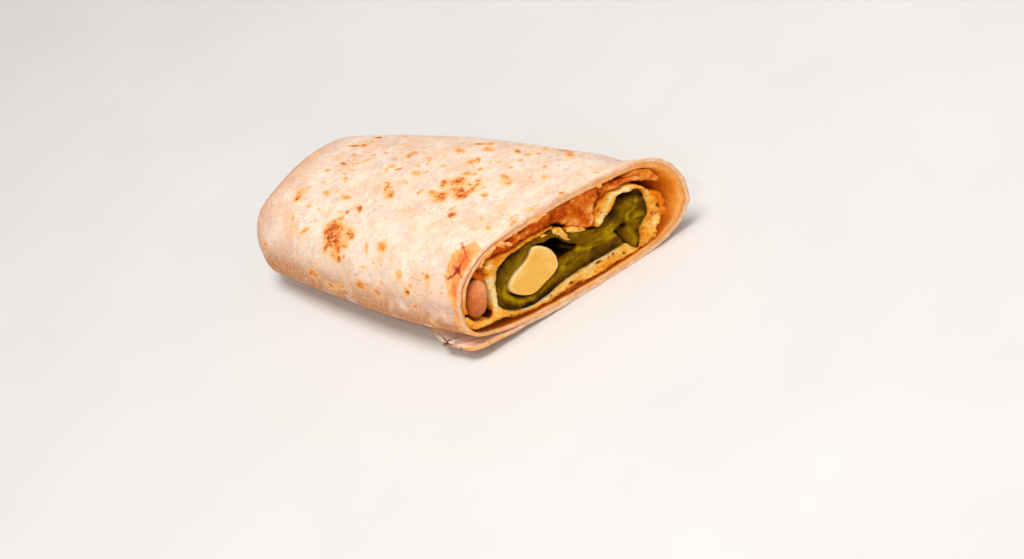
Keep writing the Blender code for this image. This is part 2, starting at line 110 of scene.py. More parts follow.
# The section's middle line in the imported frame.
SHIFT = np.array([cad_low.x / MM + END_DOME - DOME_EDGE, 0.8627, -REST_LEVEL])

# ---- section outlines on the cut face, as (s, z) ----
TURN = [
    (-37.5, 0.5), (-36.8, 4.2), (-34.6, 8), (-31, 11.6), (-26.2, 14.5), (-20, 16), (-10, 16.7), (0, 16.7),
    (9, 16.1), (17, 14.5), (24, 11.8), (28.9, 8.2), (31.9, 3.6), (32.7, -1.8), (31.5, -7), (28, -11.2),
    (22.5, -13.8), (15, -14.9), (5, -15), (-6, -14.4), (-17, -13), (-27, -10.9), (-34, -8.6), (-37.3, -6.3),
    (-38.2, -3),
]
FLAP_SHUT = [(-27.2, -13.6), (-29.6, -13.2), (-32.0, -12.7)]
FLAP_OPEN = [(-30.0, -13.6), (-36.0, -12.8), (-41.6, -11.6)]
PEPPER = [
    (-28.7, -3.2), (-27.9, -0.2), (-27, 2.6), (-25.7, 5.4), (-24, 7.9), (-21.5, 9.3), (-18, 10),
    (-14, 10.3), (-10.5, 10.3), (-7, 9.9), (-4, 9.9), (-1.6, 9.2), (0.2, 7.4), (2.2, 5.5), (5, 3.4),
    (9, 1.3), (12, 2.3), (15, 4.1), (17, 5.6), (18.4, 7.2), (20.2, 7.4), (22.2, 6.4), (23.8, 6.2),
    (25.2, 4.6), (25.5, 1.6), (25.1, -1.2), (24.2, -3.6), (22.2, -5.2), (20.1, -6.8), (19, -9.4),
    (18.2, -11.4), (17.4, -12.7), (16.3, -11.9), (15.5, -9.6), (15.1, -7), (15.2, -4.6), (16.5, -2.6),
    (14.8, -2.2), (13, -2.9), (13.5, -5), (14.1, -7.4), (13.4, -8.7), (9, -8.5), (3, -8.4), (-3, -8),
    (-8, -8.6), (-14, -9.6), (-19.5, -9.9), (-23.5, -8.8), (-26.8, -6.5),
]
HOLLOW = [(14.2, 2.8), (16.2, 3.2), (17.4, 4.2), (18.6, 5.2), (20.0, 6.4)]   # the flesh under the fringe
FOLD_MOUTH = ((15.5, -9.6), (13.4, -8.7))
CAVITY = [
    (-24.5, -0.8), (-23.9, 1.7), (-21.8, 3.4), (-18.8, 5.1), (-15.9, 5.8), (-13.6, 6.8), (-12.1, 8.2),
    (-10.5, 8.8), (-8.8, 8.2), (-7.3, 7.6), (-5.2, 7.5), (-3.2, 6.4), (-2, 4.2), (-0.4, 2), (1.5, 0.1),
    (0.2, -0.9), (-2.6, -0.7), (-5, -1.9), (-7.4, -3.8), (-10, -4.8), (-13, -5.8), (-16, -6.6),
    (-18.4, -6.8), (-20.9, -5.9), (-23.4, -3.9),
]
CHEESE = [
    (-23.6, -0.6), (-23.1, 1.2), (-21.6, 2.7), (-19.6, 4), (-16.5, 5), (-14, 5.9), (-12.4, 7.2),
    (-10.9, 8.3), (-9.4, 7.8), (-7.8, 6.4), (-6.6, 4.3), (-6.1, 1.8), (-6.3, -0.7), (-7.3, -2.7),
    (-9.2, -3.9), (-13, -5.1), (-16, -6), (-18.2, -6.1), (-20.3, -5.1), (-22.3, -3.3),
]
BATTER = [
    (-2.6, 10.5), (-6, 11.1), (-12, 11.4), (-19, 11.5), (-23.6, 12.1), (-25.8, 11.1), (-26.9, 8.4),
    (-27.4, 5.4), (-28, 2.5), (-28.6, -0.4), (-29.8, -2.9), (-32.6, -4.5), (-35.3, -4.1), (-36.8, -2.4),
    (-37.6, -0.8), (-38.6, -1), (-38.9, -3), (-38.1, -5.2), (-35.8, -6.9), (-32, -7.7), (-28.4, -8.3),
    (-25.2, -9.9), (-21, -11.2), (-15, -12), (-9, -12.3), (-4, -12.3), (0, -12.9), (5, -13.6), (10, -13.5),
    (15, -13.7), (19, -13.9), (22.6, -12.6), (24.2, -10.4), (26.6, -8.8), (29.2, -7), (30.6, -4.2),
    (30.6, -1.2), (29.2, 1.8), (27.4, 4.2), (26.4, 6.2), (24.6, 8), (21, 9), (16.5, 9.4), (12.6, 8.9),
    (11, 7.2), (10.2, 4.8), (9.2, 2.4),
]
BEANS = [
    (28, 8.6), (24.8, 11.6), (19, 13.7), (13, 15.2), (5, 16.2), (-5, 16.2), (-14, 15.9), (-21, 15.2),
    (-27, 12.7), (-29.2, 9.9), (-28.4, 7), (-27.4, 8.8), (-26.3, 11.6), (-23.8, 12.8), (-19, 12.2),
    (-12, 12), (-6, 11.8), (-2.6, 11.4), (-0.8, 10.2), (1.2, 8), (3.2, 6), (6, 3.6), (8.6, 2.4), (9.7, 4.6),
    (10.4, 7.2), (12.2, 9.6), (16.5, 10.1), (21.5, 9.7), (25.2, 8.6), (26.9, 7.4),
]
BEAN_CENTRE = (-32.0, 2.6)
BEAN_LONG, BEAN_SHORT, BEAN_DEEP = 6.5, 3.25, 3.2     # half sizes
BEAN_TILT = math.radians(62.0)
BEAN_BEHIND = 2.0

# ---- marks on the skin: x, arc, half length, half width, turn in degrees, strength ----
TOASTED = [
    (11.5, 6.5, 2.2, 1.3, 0, 0.6), (49.8, 14.5, 8.5, 8, 0, 0.24), (48, 19, 3.3, 3, 60, 1),
    (53.5, 15, 3, 2.4, 0, 0.85), (58.5, 19, 2.7, 1.7, -20, 0.9), (47, 12, 1.5, 0.9, 50, 0.75),
    (51.5, 10.5, 1.2, 1, 0, 0.7), (54.5, 9.8, 1.5, 1.1, 0, 1), (54, 12.8, 1, 0.8, 0, 0.9),
    (58.3, 15, 1.2, 0.8, 0, 0.75), (57.8, 11, 1.1, 0.5, 70, 0.65), (48.8, 15.8, 2, 1.6, 90, 0.85),
    (52, 20.5, 3, 1.8, 0, 0.5), (50.5, 24, 1.3, 0.7, 0, 0.65), (47.5, 26.3, 1.4, 0.7, 0, 0.55),
    (51.3, 26.8, 0.9, 0.55, -30, 1.7), (56.5, 28.6, 2.1, 0.6, -60, 1.1), (54.8, 29.2, 1.8, 1.2, 0, 0.5),
    (45, 32.8, 2.5, 1.3, 0, 0.75), (22, 28.5, 1.5, 1.5, 0, 1), (21.5, 32, 3, 3.4, 0, 0.5),
    (34.2, 33.6, 1.8, 1.1, -25, 1), (38.8, 35, 0.9, 0.6, 0, 0.6), (34.6, 16.4, 2.6, 0.8, 35, 0.9),
    (26.2, 20, 1.5, 0.8, -60, 0.6), (26.5, 16.5, 2.6, 0.5, 90, 0.45), (31, 26, 2.2, 1.2, 0, 0.45),
    (36.8, 25.6, 1.4, 0.8, -30, 0.45), (25.2, 46.4, 1.8, 1, 0, 0.8), (30, 51, 2.1, 0.7, -10, 1),
    (39, 54.5, 1.9, 0.8, 40, 0.65), (28, 39.2, 1.8, 1.2, 0, 0.4), (38.7, 41, 1.2, 0.8, 0, 0.45),
    (16.5, 40, 1.7, 1.4, 0, 0.32), (64, 37.5, 3.2, 1.8, -35, 0.88), (60.2, 40.5, 1.9, 0.5, -75, 1.15),
    (53.5, 52.2, 2.4, 1.2, -10, 0.6), (58, 51, 2, 0.6, 30, 0.95), (67, 50, 2.8, 1.6, -15, 0.6),
    (50.6, 56.8, 1.3, 0.8, 0, 0.75), (56, 58.5, 1.2, 0.8, 0, 0.5), (48.5, 66, 1.5, 0.8, 50, 0.5),
    (20.5, 55.5, 2, 1, -30, 0.35), (9, 57.5, 3, 2, 0, 0.42), (28, 64.5, 4, 1.5, -25, 0.4),
    (38, 1.5, 3.6, 1.8, 5, 1), (46.5, -1.5, 3, 1.6, 0, 0.75), (52.5, -0.5, 2.6, 1.2, 10, 0.75),
    (64.8, 3.2, 2.2, 1.6, 0, 1.25), (54, 3, 1.2, 0.7, 0, 0.6), (59.5, 2.8, 1.2, 0.8, 0, 0.6),
    (42, 5.3, 1.3, 0.7, 0, 0.5), (68, 9.6, 1.5, 0.7, 0, 0.65), (68.3, 15.8, 2.3, 0.6, -65, 0.9),
    (75.4, 17.4, 2.3, 1.7, 0, 0.9), (72.5, 2, 3, 2.2, 0, 0.5), (76, 6, 1.4, 0.9, 0, 0.5),
    (88, 5.2, 1.2, 1.2, 0, 1.3), (90.2, 7.2, 1.2, 0.5, -45, 0.85), (89.6, 0.6, 1.5, 0.9, 0, 0.75),
    (95.2, -4.2, 1, 1.2, 0, 0.65), (92.8, 4.8, 0.5, 0.5, 0, 0.9), (84.8, 10.2, 1.5, 1.6, 0, 0.7),
    (97, 10.8, 1.4, 1.2, 0, 0.8), (98.5, 6.5, 0.5, 0.5, 0, 0.8), (104.3, 12.2, 0.6, 0.6, 0, 1),
    (113, 31.2, 1.6, 1.4, 0, 0.5), (120.5, 35.5, 1.3, 1.9, 0, 0.6), (123, 42, 3, 2, 0, 0.4),
    (128.6, 52, 1.3, 1, -30, 1), (88.5, 46, 8, 6.8, -20, 0.34), (85.5, 40, 2.2, 2.4, 0, 0.95),
    (93, 42.2, 1.7, 1.3, 0, 1.1), (90.2, 45.3, 1.9, 1.2, -25, 1.05), (86.6, 49.5, 2.1, 1.9, 0, 1.05),
    (81.8, 47.2, 1, 1.9, 15, 1.15), (95, 46, 0.9, 2.4, 0, 0.9), (94.2, 51.4, 1.1, 0.7, 0, 1.15),
    (95.2, 49.3, 0.7, 0.6, 0, 1), (90.2, 54, 0.8, 0.6, 0, 0.85), (86.8, 53.8, 1.5, 0.7, 0, 0.85),
    (90.3, 57, 0.8, 0.8, 0, 1.1), (75.8, 41.2, 1.1, 1.5, 0, 0.8), (96.3, 33.5, 1.7, 1.4, 0, 0.78),
    (94, 36.2, 1, 1.4, 0, 0.6), (102, 44.5, 1.7, 1.2, -20, 0.62), (99.3, 48.2, 0.8, 0.5, 0, 0.75),
    (106, 52.5, 3.2, 2.2, 0, 0.36), (75, 55.6, 1.2, 1, 0, 0.7), (83, 60, 1.9, 1.6, 0, 0.5),
    (94, 62, 1.2, 0.8, 0, 0.5), (100.3, 60.5, 0.9, 1.2, 0, 0.6), (73.2, 65.5, 2.6, 1.2, -15, 0.85),
    (83, 68.5, 3.2, 1.4, 0, 0.6), (76, 71.3, 2, 0.9, 10, 0.95), (80, 72.5, 1.8, 0.8, 0, 0.6),
    (94.6, 70, 2, 0.7, -35, 0.95), (99.5, 69.3, 1.6, 0.7, -30, 1), (100.3, 65.2, 1, 0.8, -30, 0.95),
    (102.2, 71.2, 0.9, 0.5, -30, 0.85), (101, 75, 2.4, 0.6, -45, 0.9), (113, 73.5, 3.4, 1.3, -35, 0.8),
    (109, 77, 2.4, 1, -40, 0.7), (116.3, 58.5, 1.9, 1.4, 0, 0.45), (71, 51.2, 1.4, 0.6, 10, 0.65),
    (131.8, 66, 0.8, 0.5, -30, 0.9), (126.7, 68.5, 0.6, 0.4, -30, 0.8), (130.3, 62, 0.5, 0.4, 0, 0.8),
]
STAINED = [
    (108.6, 14, 4.4, 7.6, 0, 1.3), (112, 20, 4, 4.4, 0, 1.1), (108.6, 5, 2.4, 4.6, 0, 0.9),
    (107, -4, 2.2, 5, 0, 0.7), (120, 36, 2.4, 5, 25, 0.4), (125, 44, 2, 5, 25, 0.3),
]
CRACK_HUB = (109.0, 14.6, 1.5, 0.9, 0, 1.0)     # where the cracks meet
CRACKS = [
    ((104.8, 11.4), (107.2, 12.6), (109.0, 14.8), (109.7, 17.2), (110.8, 19.6), (108.8, 21.5),
     (106.6, 23.4)),
    ((106.4, 15.8), (108.9, 14.9), (110.4, 13.2), (112.2, 12.6)),
]
STREAKED = (18.0, 112.0, 33.0, 80.0)    # x and arc range of the slanting streaks
SCATTERED = (4.0, 138.0, 84.0, 172.0)   # x and arc range of the scattered spots


# ---- noise ----
def hashed(i, j, k, seed):
    n = (i * 73856093) ^ (j * 19349663) ^ (k * 83492791) ^ (seed * 15485863)
    n = (n ^ (n >> 13)) & 0x7FFFFFFF
    n = (n * 1274126177) & 0x7FFFFFFF
    n = (n ^ (n >> 15)) & 0x7FFFFFFF
    n = (n * 668265263) & 0x7FFFFFFF
    return ((n >> 8) & 0xFFFF) / 32767.5 - 1.0


def noise(p, size, seed=0):
    """Smooth noise between -1 and 1 whose lumps are about `size` across."""
    q = np.asarray(p, float) / size
    cell = np.floor(q).astype(np.int64)
    f = q - cell
    w = f * f * (3.0 - 2.0 * f)
    total = 0.0
    for dx in (0, 1):
        for dy in (0, 1):
            for dz in (0, 1):
                value = hashed(cell[..., 0] + dx, cell[..., 1] + dy, cell[..., 2] + dz, seed)
                share = (w[..., 0] if dx else 1 - w[..., 0]) * (w[..., 1] if dy else 1 - w[..., 1])
                total = total + value * share * (w[..., 2] if dz else 1 - w[..., 2])
    return total


def lumps(p, size, octaves, seed=0):
    """Noise with finer and finer detail."""
    total, weight = 0.0, 1.0
    for k in range(octaves):
        total = total + weight * noise(p, size / 2 ** k, seed + 7 * k)
        weight *= 0.5
    return total


def step(value, low, high):
    """Smooth step from 0 at low to 1 at high."""
    t = np.clip((value - low) / (high - low), 0.0, 1.0)
    return t * t * (3.0 - 2.0 * t)


def marks(u, v, table, sharp=1.0):
    """Sum of soft elliptical marks at the points (u, v)."""
    total = np.zeros(np.shape(u))
    for x, y, long, wide, turn, strength in table:
        c, s = math.cos(math.radians(turn)), math.sin(math.radians(turn))
        along = (u - x) * c + (v - y) * s
        across = (v - y) * c - (u - x) * s
        r = (along / long) ** 2 + (across / wide) ** 2
        total = np.maximum(total, 0.0) + strength * np.exp(-r ** sharp)
    return total


def distance_to(u, v, line):
    """Distance from the points (u, v) to an open line."""
    best = np.full(np.shape(u), np.inf)
    for (x0, y0), (x1, y1) in zip(line, line[1:]):
        run = np.array([x1 - x0, y1 - y0])
        t = np.clip(((u - x0) * run[0] + (v - y0) * run[1]) / (run @ run), 0.0, 1.0)
        best = np.minimum(best, np.hypot(u - x0 - t * run[0], v - y0 - t * run[1]))
    return best


def stroke(u, v, line, wide):
    """A soft stroke along a line: 1 on the line, fading within about `wide`."""
    return np.exp(-(distance_to(u, v, line) / wide) ** 2)


def strokes(u, v, table):
    """Sum of soft strokes, each (line, width, strength)."""
    return sum(strength * stroke(u, v, line, wide) for line, wide, strength in table)


# ---- plane curves ----
def smooth(points, closed, per=24):
    """Dense centripetal Catmull-Rom curve through the points."""
    p = np.array(points, float)
    if closed:
        p = np.vstack([p[-1], p, p[0], p[1]])
    else:
        p = np.vstack([2 * p[0] - p[1], p, 2 * p[-1] - p[-2]])
    knots = np.concatenate([[0.0], np.cumsum(np.sqrt(np.linalg.norm(np.diff(p, axis=0), axis=1)))])
    spans = []
    for i in range(len(p) - 3):
        t0, t1, t2, t3 = knots[i:i + 4]
        t = np.linspace(t1, t2, per, endpoint=False)[:, None]

        def between(a, b, start, end):
            return (end - t) / (end - start) * a + (t - start) / (end - start) * b

        first, middle, last = [between(p[k], p[k + 1], knots[k], knots[k + 1]) for k in range(i, i + 3)]
        spans.append(between(between(first, middle, t0, t2), between(middle, last, t1, t3), t1, t2))
    curve = np.vstack(spans)
    return curve if closed else np.vstack([curve, p[-2]])


def lengths(path):
    """Distance run at each point of an open path."""
    return np.concatenate([[0.0], np.cumsum(np.linalg.norm(np.diff(path, axis=0), axis=1))])


def sample(at, run, line):
    """Points of a line at the distances `at` along it."""
    return np.stack([np.interp(at, run, line[:, 0]), np.interp(at, run, line[:, 1])], 1)


def leftwards(ahead):
    """Unit vectors to the left of the given directions."""
    ahead = ahead / np.maximum(np.linalg.norm(ahead, axis=1), 1e-9)[:, None]
    return np.stack([-ahead[:, 1], ahead[:, 0]], 1)


def even(curve, spacing):
    """A closed curve sampled again at even spacing."""
    line = np.vstack([curve, curve[:1]])
    run = lengths(line)
    return sample(np.linspace(0.0, run[-1], max(8, int(run[-1] / spacing)), endpoint=False), run, line)


def inside(points, outline):
    """Which of the points lie inside a closed outline."""
    ahead = np.roll(outline, -1, 0)
    x, y = points[:, :1], points[:, 1:]
    crosses = (outline[:, 1] > y) != (ahead[:, 1] > y)
    rise = np.where(ahead[:, 1] == outline[:, 1], 1e-12, ahead[:, 1] - outline[:, 1])
    at = outline[:, 0] + (y - outline[:, 1]) / rise * (ahead[:, 0] - outline[:, 0])
    return np.count_nonzero(crosses & (x < at), axis=1) % 2 == 1


def settle(points, outline, clearance, within=False):
    """Press points back until they stand `clearance` outside (or within) a closed outline."""
    run = np.roll(outline, -1, 0) - outline
    square = np.maximum((run * run).sum(1), 1e-12)
    area = np.sum(outline[:, 0] * run[:, 1] - outline[:, 1] * run[:, 0])
    sideways = np.stack([run[:, 1], -run[:, 0]], 1) * math.copysign(1.0, area)
    if within:
        sideways = -sideways
    result = points.copy()
    right_side = inside(points, outline) == within
    for i, point in enumerate(points):
        share = np.clip(((point - outline) * run).sum(1) / square, 0.0, 1.0)
        near = outline + share[:, None] * run
        apart = np.linalg.norm(point - near, axis=1)
        j = int(apart.argmin())
        if right_side[i] and apart[j] >= clearance:
            continue
        away = (point - near[j]) if right_side[i] else (near[j] - point)
        if apart[j] < 1e-6:
            away = sideways[j]
        result[i] = near[j] + away / np.linalg.norm(away) * clearance
    return result


def offset(path, distance):
    """Move an open path sideways, to the left of its direction."""
    return path + leftwards(np.gradient(path, axis=0)) * distance


def tangled(outline):
    """Whether a closed outline crosses or touches itself."""
    n = len(outline)
    edges = [(i, (i + 1) % n) for i in range(n)]
    return len(geometry.delaunay_2d_cdt([Vector(p) for p in outline.tolist()], edges, [], 0, MERGE)[0]) != n


def ragged(outline, size, depth, seed):
    """A closed outline with an uneven edge, made calmer until it doesn't cross itself."""
    left = leftwards(np.roll(outline, -1, 0) - np.roll(outline, 1, 0))
    p = np.column_stack([outline, np.zeros(len(outline))])
    push = left * (depth * lumps(p, size, 3, seed))[:, None]
    for calm in (1.0, 0.75, 0.5, 0.3, 0.15):
        if not tangled(outline + push * calm):
            return outline + push * calm
    return outline


# ---- section of the tortilla ----
LOOP = smooth(TURN, True, 30)


def climb(turn):
    """Whole layers the sheet has climbed at a number of turns."""
    return np.floor(turn) + step(turn % 1.0, CLIMB_FROM, CLIMB_TO)


def wound(turn, layers):
    """Points at a number of turns along the closed turn, lifted outwards by whole layers."""
    line = np.vstack([LOOP, LOOP[:1]])
    run = lengths(line)

    def at(share):
        return sample((share % 1.0) * run[-1], run, line)

    nearby = 0.6 / run[-1]
    left = leftwards(at(turn + nearby) - at(turn - nearby))
    return at(turn) + left * (PITCH * layers)[:, None]


def sheet_middle(stand_off):
    """Middle of the sheet from its inner edge to its free edge."""
    turn = np.linspace(0.0, TURNS, SHEET_POINTS)
    path = wound(turn, climb(turn))
    tail = np.array(FLAP_SHUT) * (1.0 - stand_off) + np.array(FLAP_OPEN) * stand_off
    joint = path[-TAIL_POINTS::TAIL_POINTS // 3]
    return np.vstack([path[:-TAIL_POINTS], smooth(np.vstack([joint, tail]), False)])


def room():
    """Closed outline of the space inside the tortilla."""
    turn = np.linspace(0.0, 1.0, 500)
    return offset(wound(turn, climb(turn)), -SHEET / 2)


def plug_outline():
    """Outline of the tucked-in end, without the climb of a layer at its seam."""
    turn = np.linspace(0.0, 1.0, 400, endpoint=False)
    fade = np.clip((turn - SEAM_FADE[0]) / (SEAM_FADE[1] - SEAM_FADE[0]), 0.0, 1.0)
    return wound(turn, 1.0 + climb(turn) * (1.0 - fade))


# ---- from the section to the roll ----
def cut_x(y, z):
    """Where the cut crosses the roll."""
    return LENGTH + y * math.tan(CUT_SLANT) + z * math.tan(CUT_LEAN)


def swollen(s, behind):
    """The section grows wider behind the cut."""
    share = step(behind, 0.0, SWELL_DEPTH)
    far = SWELL_FAR * np.clip(s / SWELL_AT, 0.0, 1.0) ** 2
    near = SWELL_NEAR * np.clip(-s / SWELL_AT, 0.0, 1.0) ** 2
    return s + share * (far - near)


def tapered(x, y, z):
    """The roll grows narrower and lower towards the closed end."""
    rest = np.clip(1.0 - x / TAPER, 0.0, None) ** 2
    y = y * (1.0 - (1.0 - END_WIDTH) * rest)
    z = REST_LEVEL + (z - REST_LEVEL) * (1.0 - (1.0 - END_HEIGHT) * rest)
    return np.stack([x, y, z], -1)


def body_point(s, z, x, rounded=True):
    """Points of the section square across the roll."""
    y = swollen(s, SWELL_DEPTH) * ALONG
    p = tapered(np.full(np.shape(y), float(x)), y, np.maximum(z, REST_LEVEL))
    if rounded and x < END_ROUND:
        inset = END_INSET * (1.0 - math.sqrt(1.0 - (1.0 - max(x, 0.0) / END_ROUND) ** 2))
        p[..., 1] *= 1.0 - inset / END_HALF_WIDTH
        p[..., 2] = END_MIDDLE + (p[..., 2] - END_MIDDLE) * (1.0 - inset / END_HALF_HEIGHT)
    return p


def front_point(s, z, behind, flare=None):
    """Points of the section at a distance behind the cut, flared like the points `flare` of the turn."""
    wide, high = swollen(s, behind), np.maximum(z, REST_LEVEL)
    if flare is not None:
        side = step(flare[:, 0], FLARE_START, FLARE_FULL)
        opened = side * np.clip(1.0 - behind / FLARE_DEPTH, 0.0, None) ** FLARE_CURVE
        wide = wide + FLARE_OUT * opened
        high = high + FLARE_UP * opened * np.clip(flare[:, 1] / FLARE_HIGH, 0.0, 1.0)
    y = wide * ALONG
    return tapered(cut_x(y, high) - behind, y, high)


def point(s, z, station, flare=None, rounded=True):
    """Points of the section at a station: ("end", x), ("mid", share) or ("cut", behind)."""
    kind, value = station
    if kind == "end":
        return body_point(s, z, value, rounded)
    if kind == "cut":
        return front_point(s, z, value, flare)
    body = body_point(s, z, BODY_LAST, rounded)
    return body + (front_point(s, z, SWELL_DEPTH) - body) * value


# ---- meshes ----
def made(name, verts, faces, material, layers=None):
    """A mesh object from points in millimetres, with named values at its points."""
    mesh = bpy.data.meshes.new(name)
    mesh.from_pydata(((np.asarray(verts) + SHIFT) * MM).tolist(), [], faces)
    shape = bmesh.new()
    shape.from_mesh(mesh)
    bmesh.ops.recalc_face_normals(shape, faces=shape.faces)
    shape.to_mesh(mesh)
    shape.free()
    mesh.polygons.foreach_set("use_smooth", [True] * len(mesh.polygons))
    for key, values in (layers or {}).items():
        layer = mesh.attributes.new(key, "FLOAT", "POINT")
        layer.data.foreach_set("value", np.asarray(values, np.float32).ravel())
    mesh.materials.append(material)
    piece = bpy.data.objects.new(name, mesh)
    bpy.context.scene.collection.objects.link(piece)
    return piece


def strip(first, second):
    """Triangles between two lines of points with different counts."""
    faces = []
    i = j = 0
    while i < len(first) - 1 or j < len(second) - 1:
        ahead = (i + 1) / max(len(first) - 1, 1) <= (j + 1) / max(len(second) - 1, 1)
        if j == len(second) - 1 or (ahead and i < len(first) - 1):
            faces.append((first[i], first[i + 1], second[j]))
            i += 1
        else:
            faces.append((first[i], second[j + 1], second[j]))
            j += 1
    return faces


def tube(rows):
    """Quads between rows of point numbers that each close on themselves."""
    faces = []
    for a, b in zip(rows, rows[1:]):
        faces += np.stack([a, np.roll(a, -1), np.roll(b, -1), b], 1).tolist()
    return faces


def in_area(points, loops):
    """Which of the points lie in the first loop, and in none of the holes after it."""
    keep = inside(points, loops[0])
    for hole in loops[1:]:
        keep &= ~inside(points, hole)
    return keep


def triangles(loops, extra=()):
    """Delaunay triangles of the area between closed loops, with extra points inside."""
    points = np.vstack(loops + [extra]) if len(extra) else np.vstack(loops)
    edges, start = [], 0
    for loop in loops:
        n = len(loop)
        edges += [(start + i, start + (i + 1) % n) for i in range(n)]
        start += n
    result = geometry.delaunay_2d_cdt([Vector(p) for p in points.tolist()], edges, [], 0, MERGE)
    found = np.array([tuple(v) for v in result[0]])
    index = {old: new for new, olds in enumerate(result[3]) for old in olds}
    tris = np.array(result[2])
    return found, tris[in_area(found[tris].mean(1), loops)], index


def nearest(points, others):
    """Distance from each point to the nearest of the others."""
    return np.array([np.hypot(*(others - p).T).min() for p in points])


def faced_solid(name, outline, material, paint, relief, setback, start=FILLING_START, holes=(),
                spacing=0.34, edge_round=0.8, depth=None):
    """A filling: a cut face with relief and rounded edges, and walls that run back in the roll."""
    loops = [even(outline, spacing)] + [even(hole, spacing) for hole in holes]
    low, high = loops[0].min(0), loops[0].max(0)
    u, v = np.meshgrid(np.arange(low[0], high[0], spacing), np.arange(low[1], high[1], spacing))
    u[1::2] += spacing / 2
    grid = np.stack([u.ravel(), v.ravel()], 1)
    grid = grid[in_area(grid, loops)]
    edge = np.vstack(loops)
    grid = grid[nearest(grid, edge) > spacing * 0.6]
    found, tris, index = triangles(loops, grid)
    deep = nearest(found, edge)
    share = np.clip(deep / edge_round, 0.0, 1.0)
    bulge = np.sqrt(np.clip(1.0 - (1.0 - share) ** 2, 0.0, 1.0))
    shown = relief(found[:, 0], found[:, 1], deep) * np.clip(share, 0.25, 1.0)
    behind = setback + edge_round * (1.0 - bulge) - shown
    verts = [front_point(found[:, 0], found[:, 1], behind)]
    plan = [np.column_stack([found, behind])]
    faces = tris.tolist()
    total, before = len(found), 0
    for number, loop in enumerate(loops):
        n = len(loop)
        ring = [index[before + i] for i in range(n)]
        before += n
        front = behind[ring]
        if depth:
            stations = [("cut", front + (depth - front) * t) for t in (0.3, 0.65, 1.0)]
        else:
            stations = [("cut", front + d) for d in WALL_ROWS]
            stations += [("cut", np.full(n, SWELL_DEPTH))]
            stations += [("end", x) for x in (BODY_LAST, 52.0, 34.0, CAVITY_START if number else start)]
        rings = [ring]
        for kind, value in stations:
            verts.append(point(loop[:, 0], loop[:, 1], (kind, value), rounded=False))
            plan.append(np.column_stack([loop, value if kind == "cut" else np.full(n, FAR_BACK)]))
            rings.append(list(range(total, total + n)))
            total += n
        faces += tube(rings)
        _, cap, order = triangles([loop])
        back = {order[i]: rings[-1][i] for i in range(n)}
        faces += [[back[t] for t in tri] for tri in cap.tolist()]
    plan = np.vstack(plan)
    layers = paint(plan[:, 0], plan[:, 1], plan[:, 2], np.pad(deep, (0, len(plan) - len(deep))))
    return made(name, np.vstack(verts), faces, material, layers)


# ---- materials ----
def colour(r, g, b):
    """A colour given as it looks on screen, 0 to 255, as a linear value."""
    c = np.array([r, g, b]) / 255.0
    return tuple(np.where(c <= 0.04045, c / 12.92, ((c + 0.055) / 1.055) ** 2.4).tolist())


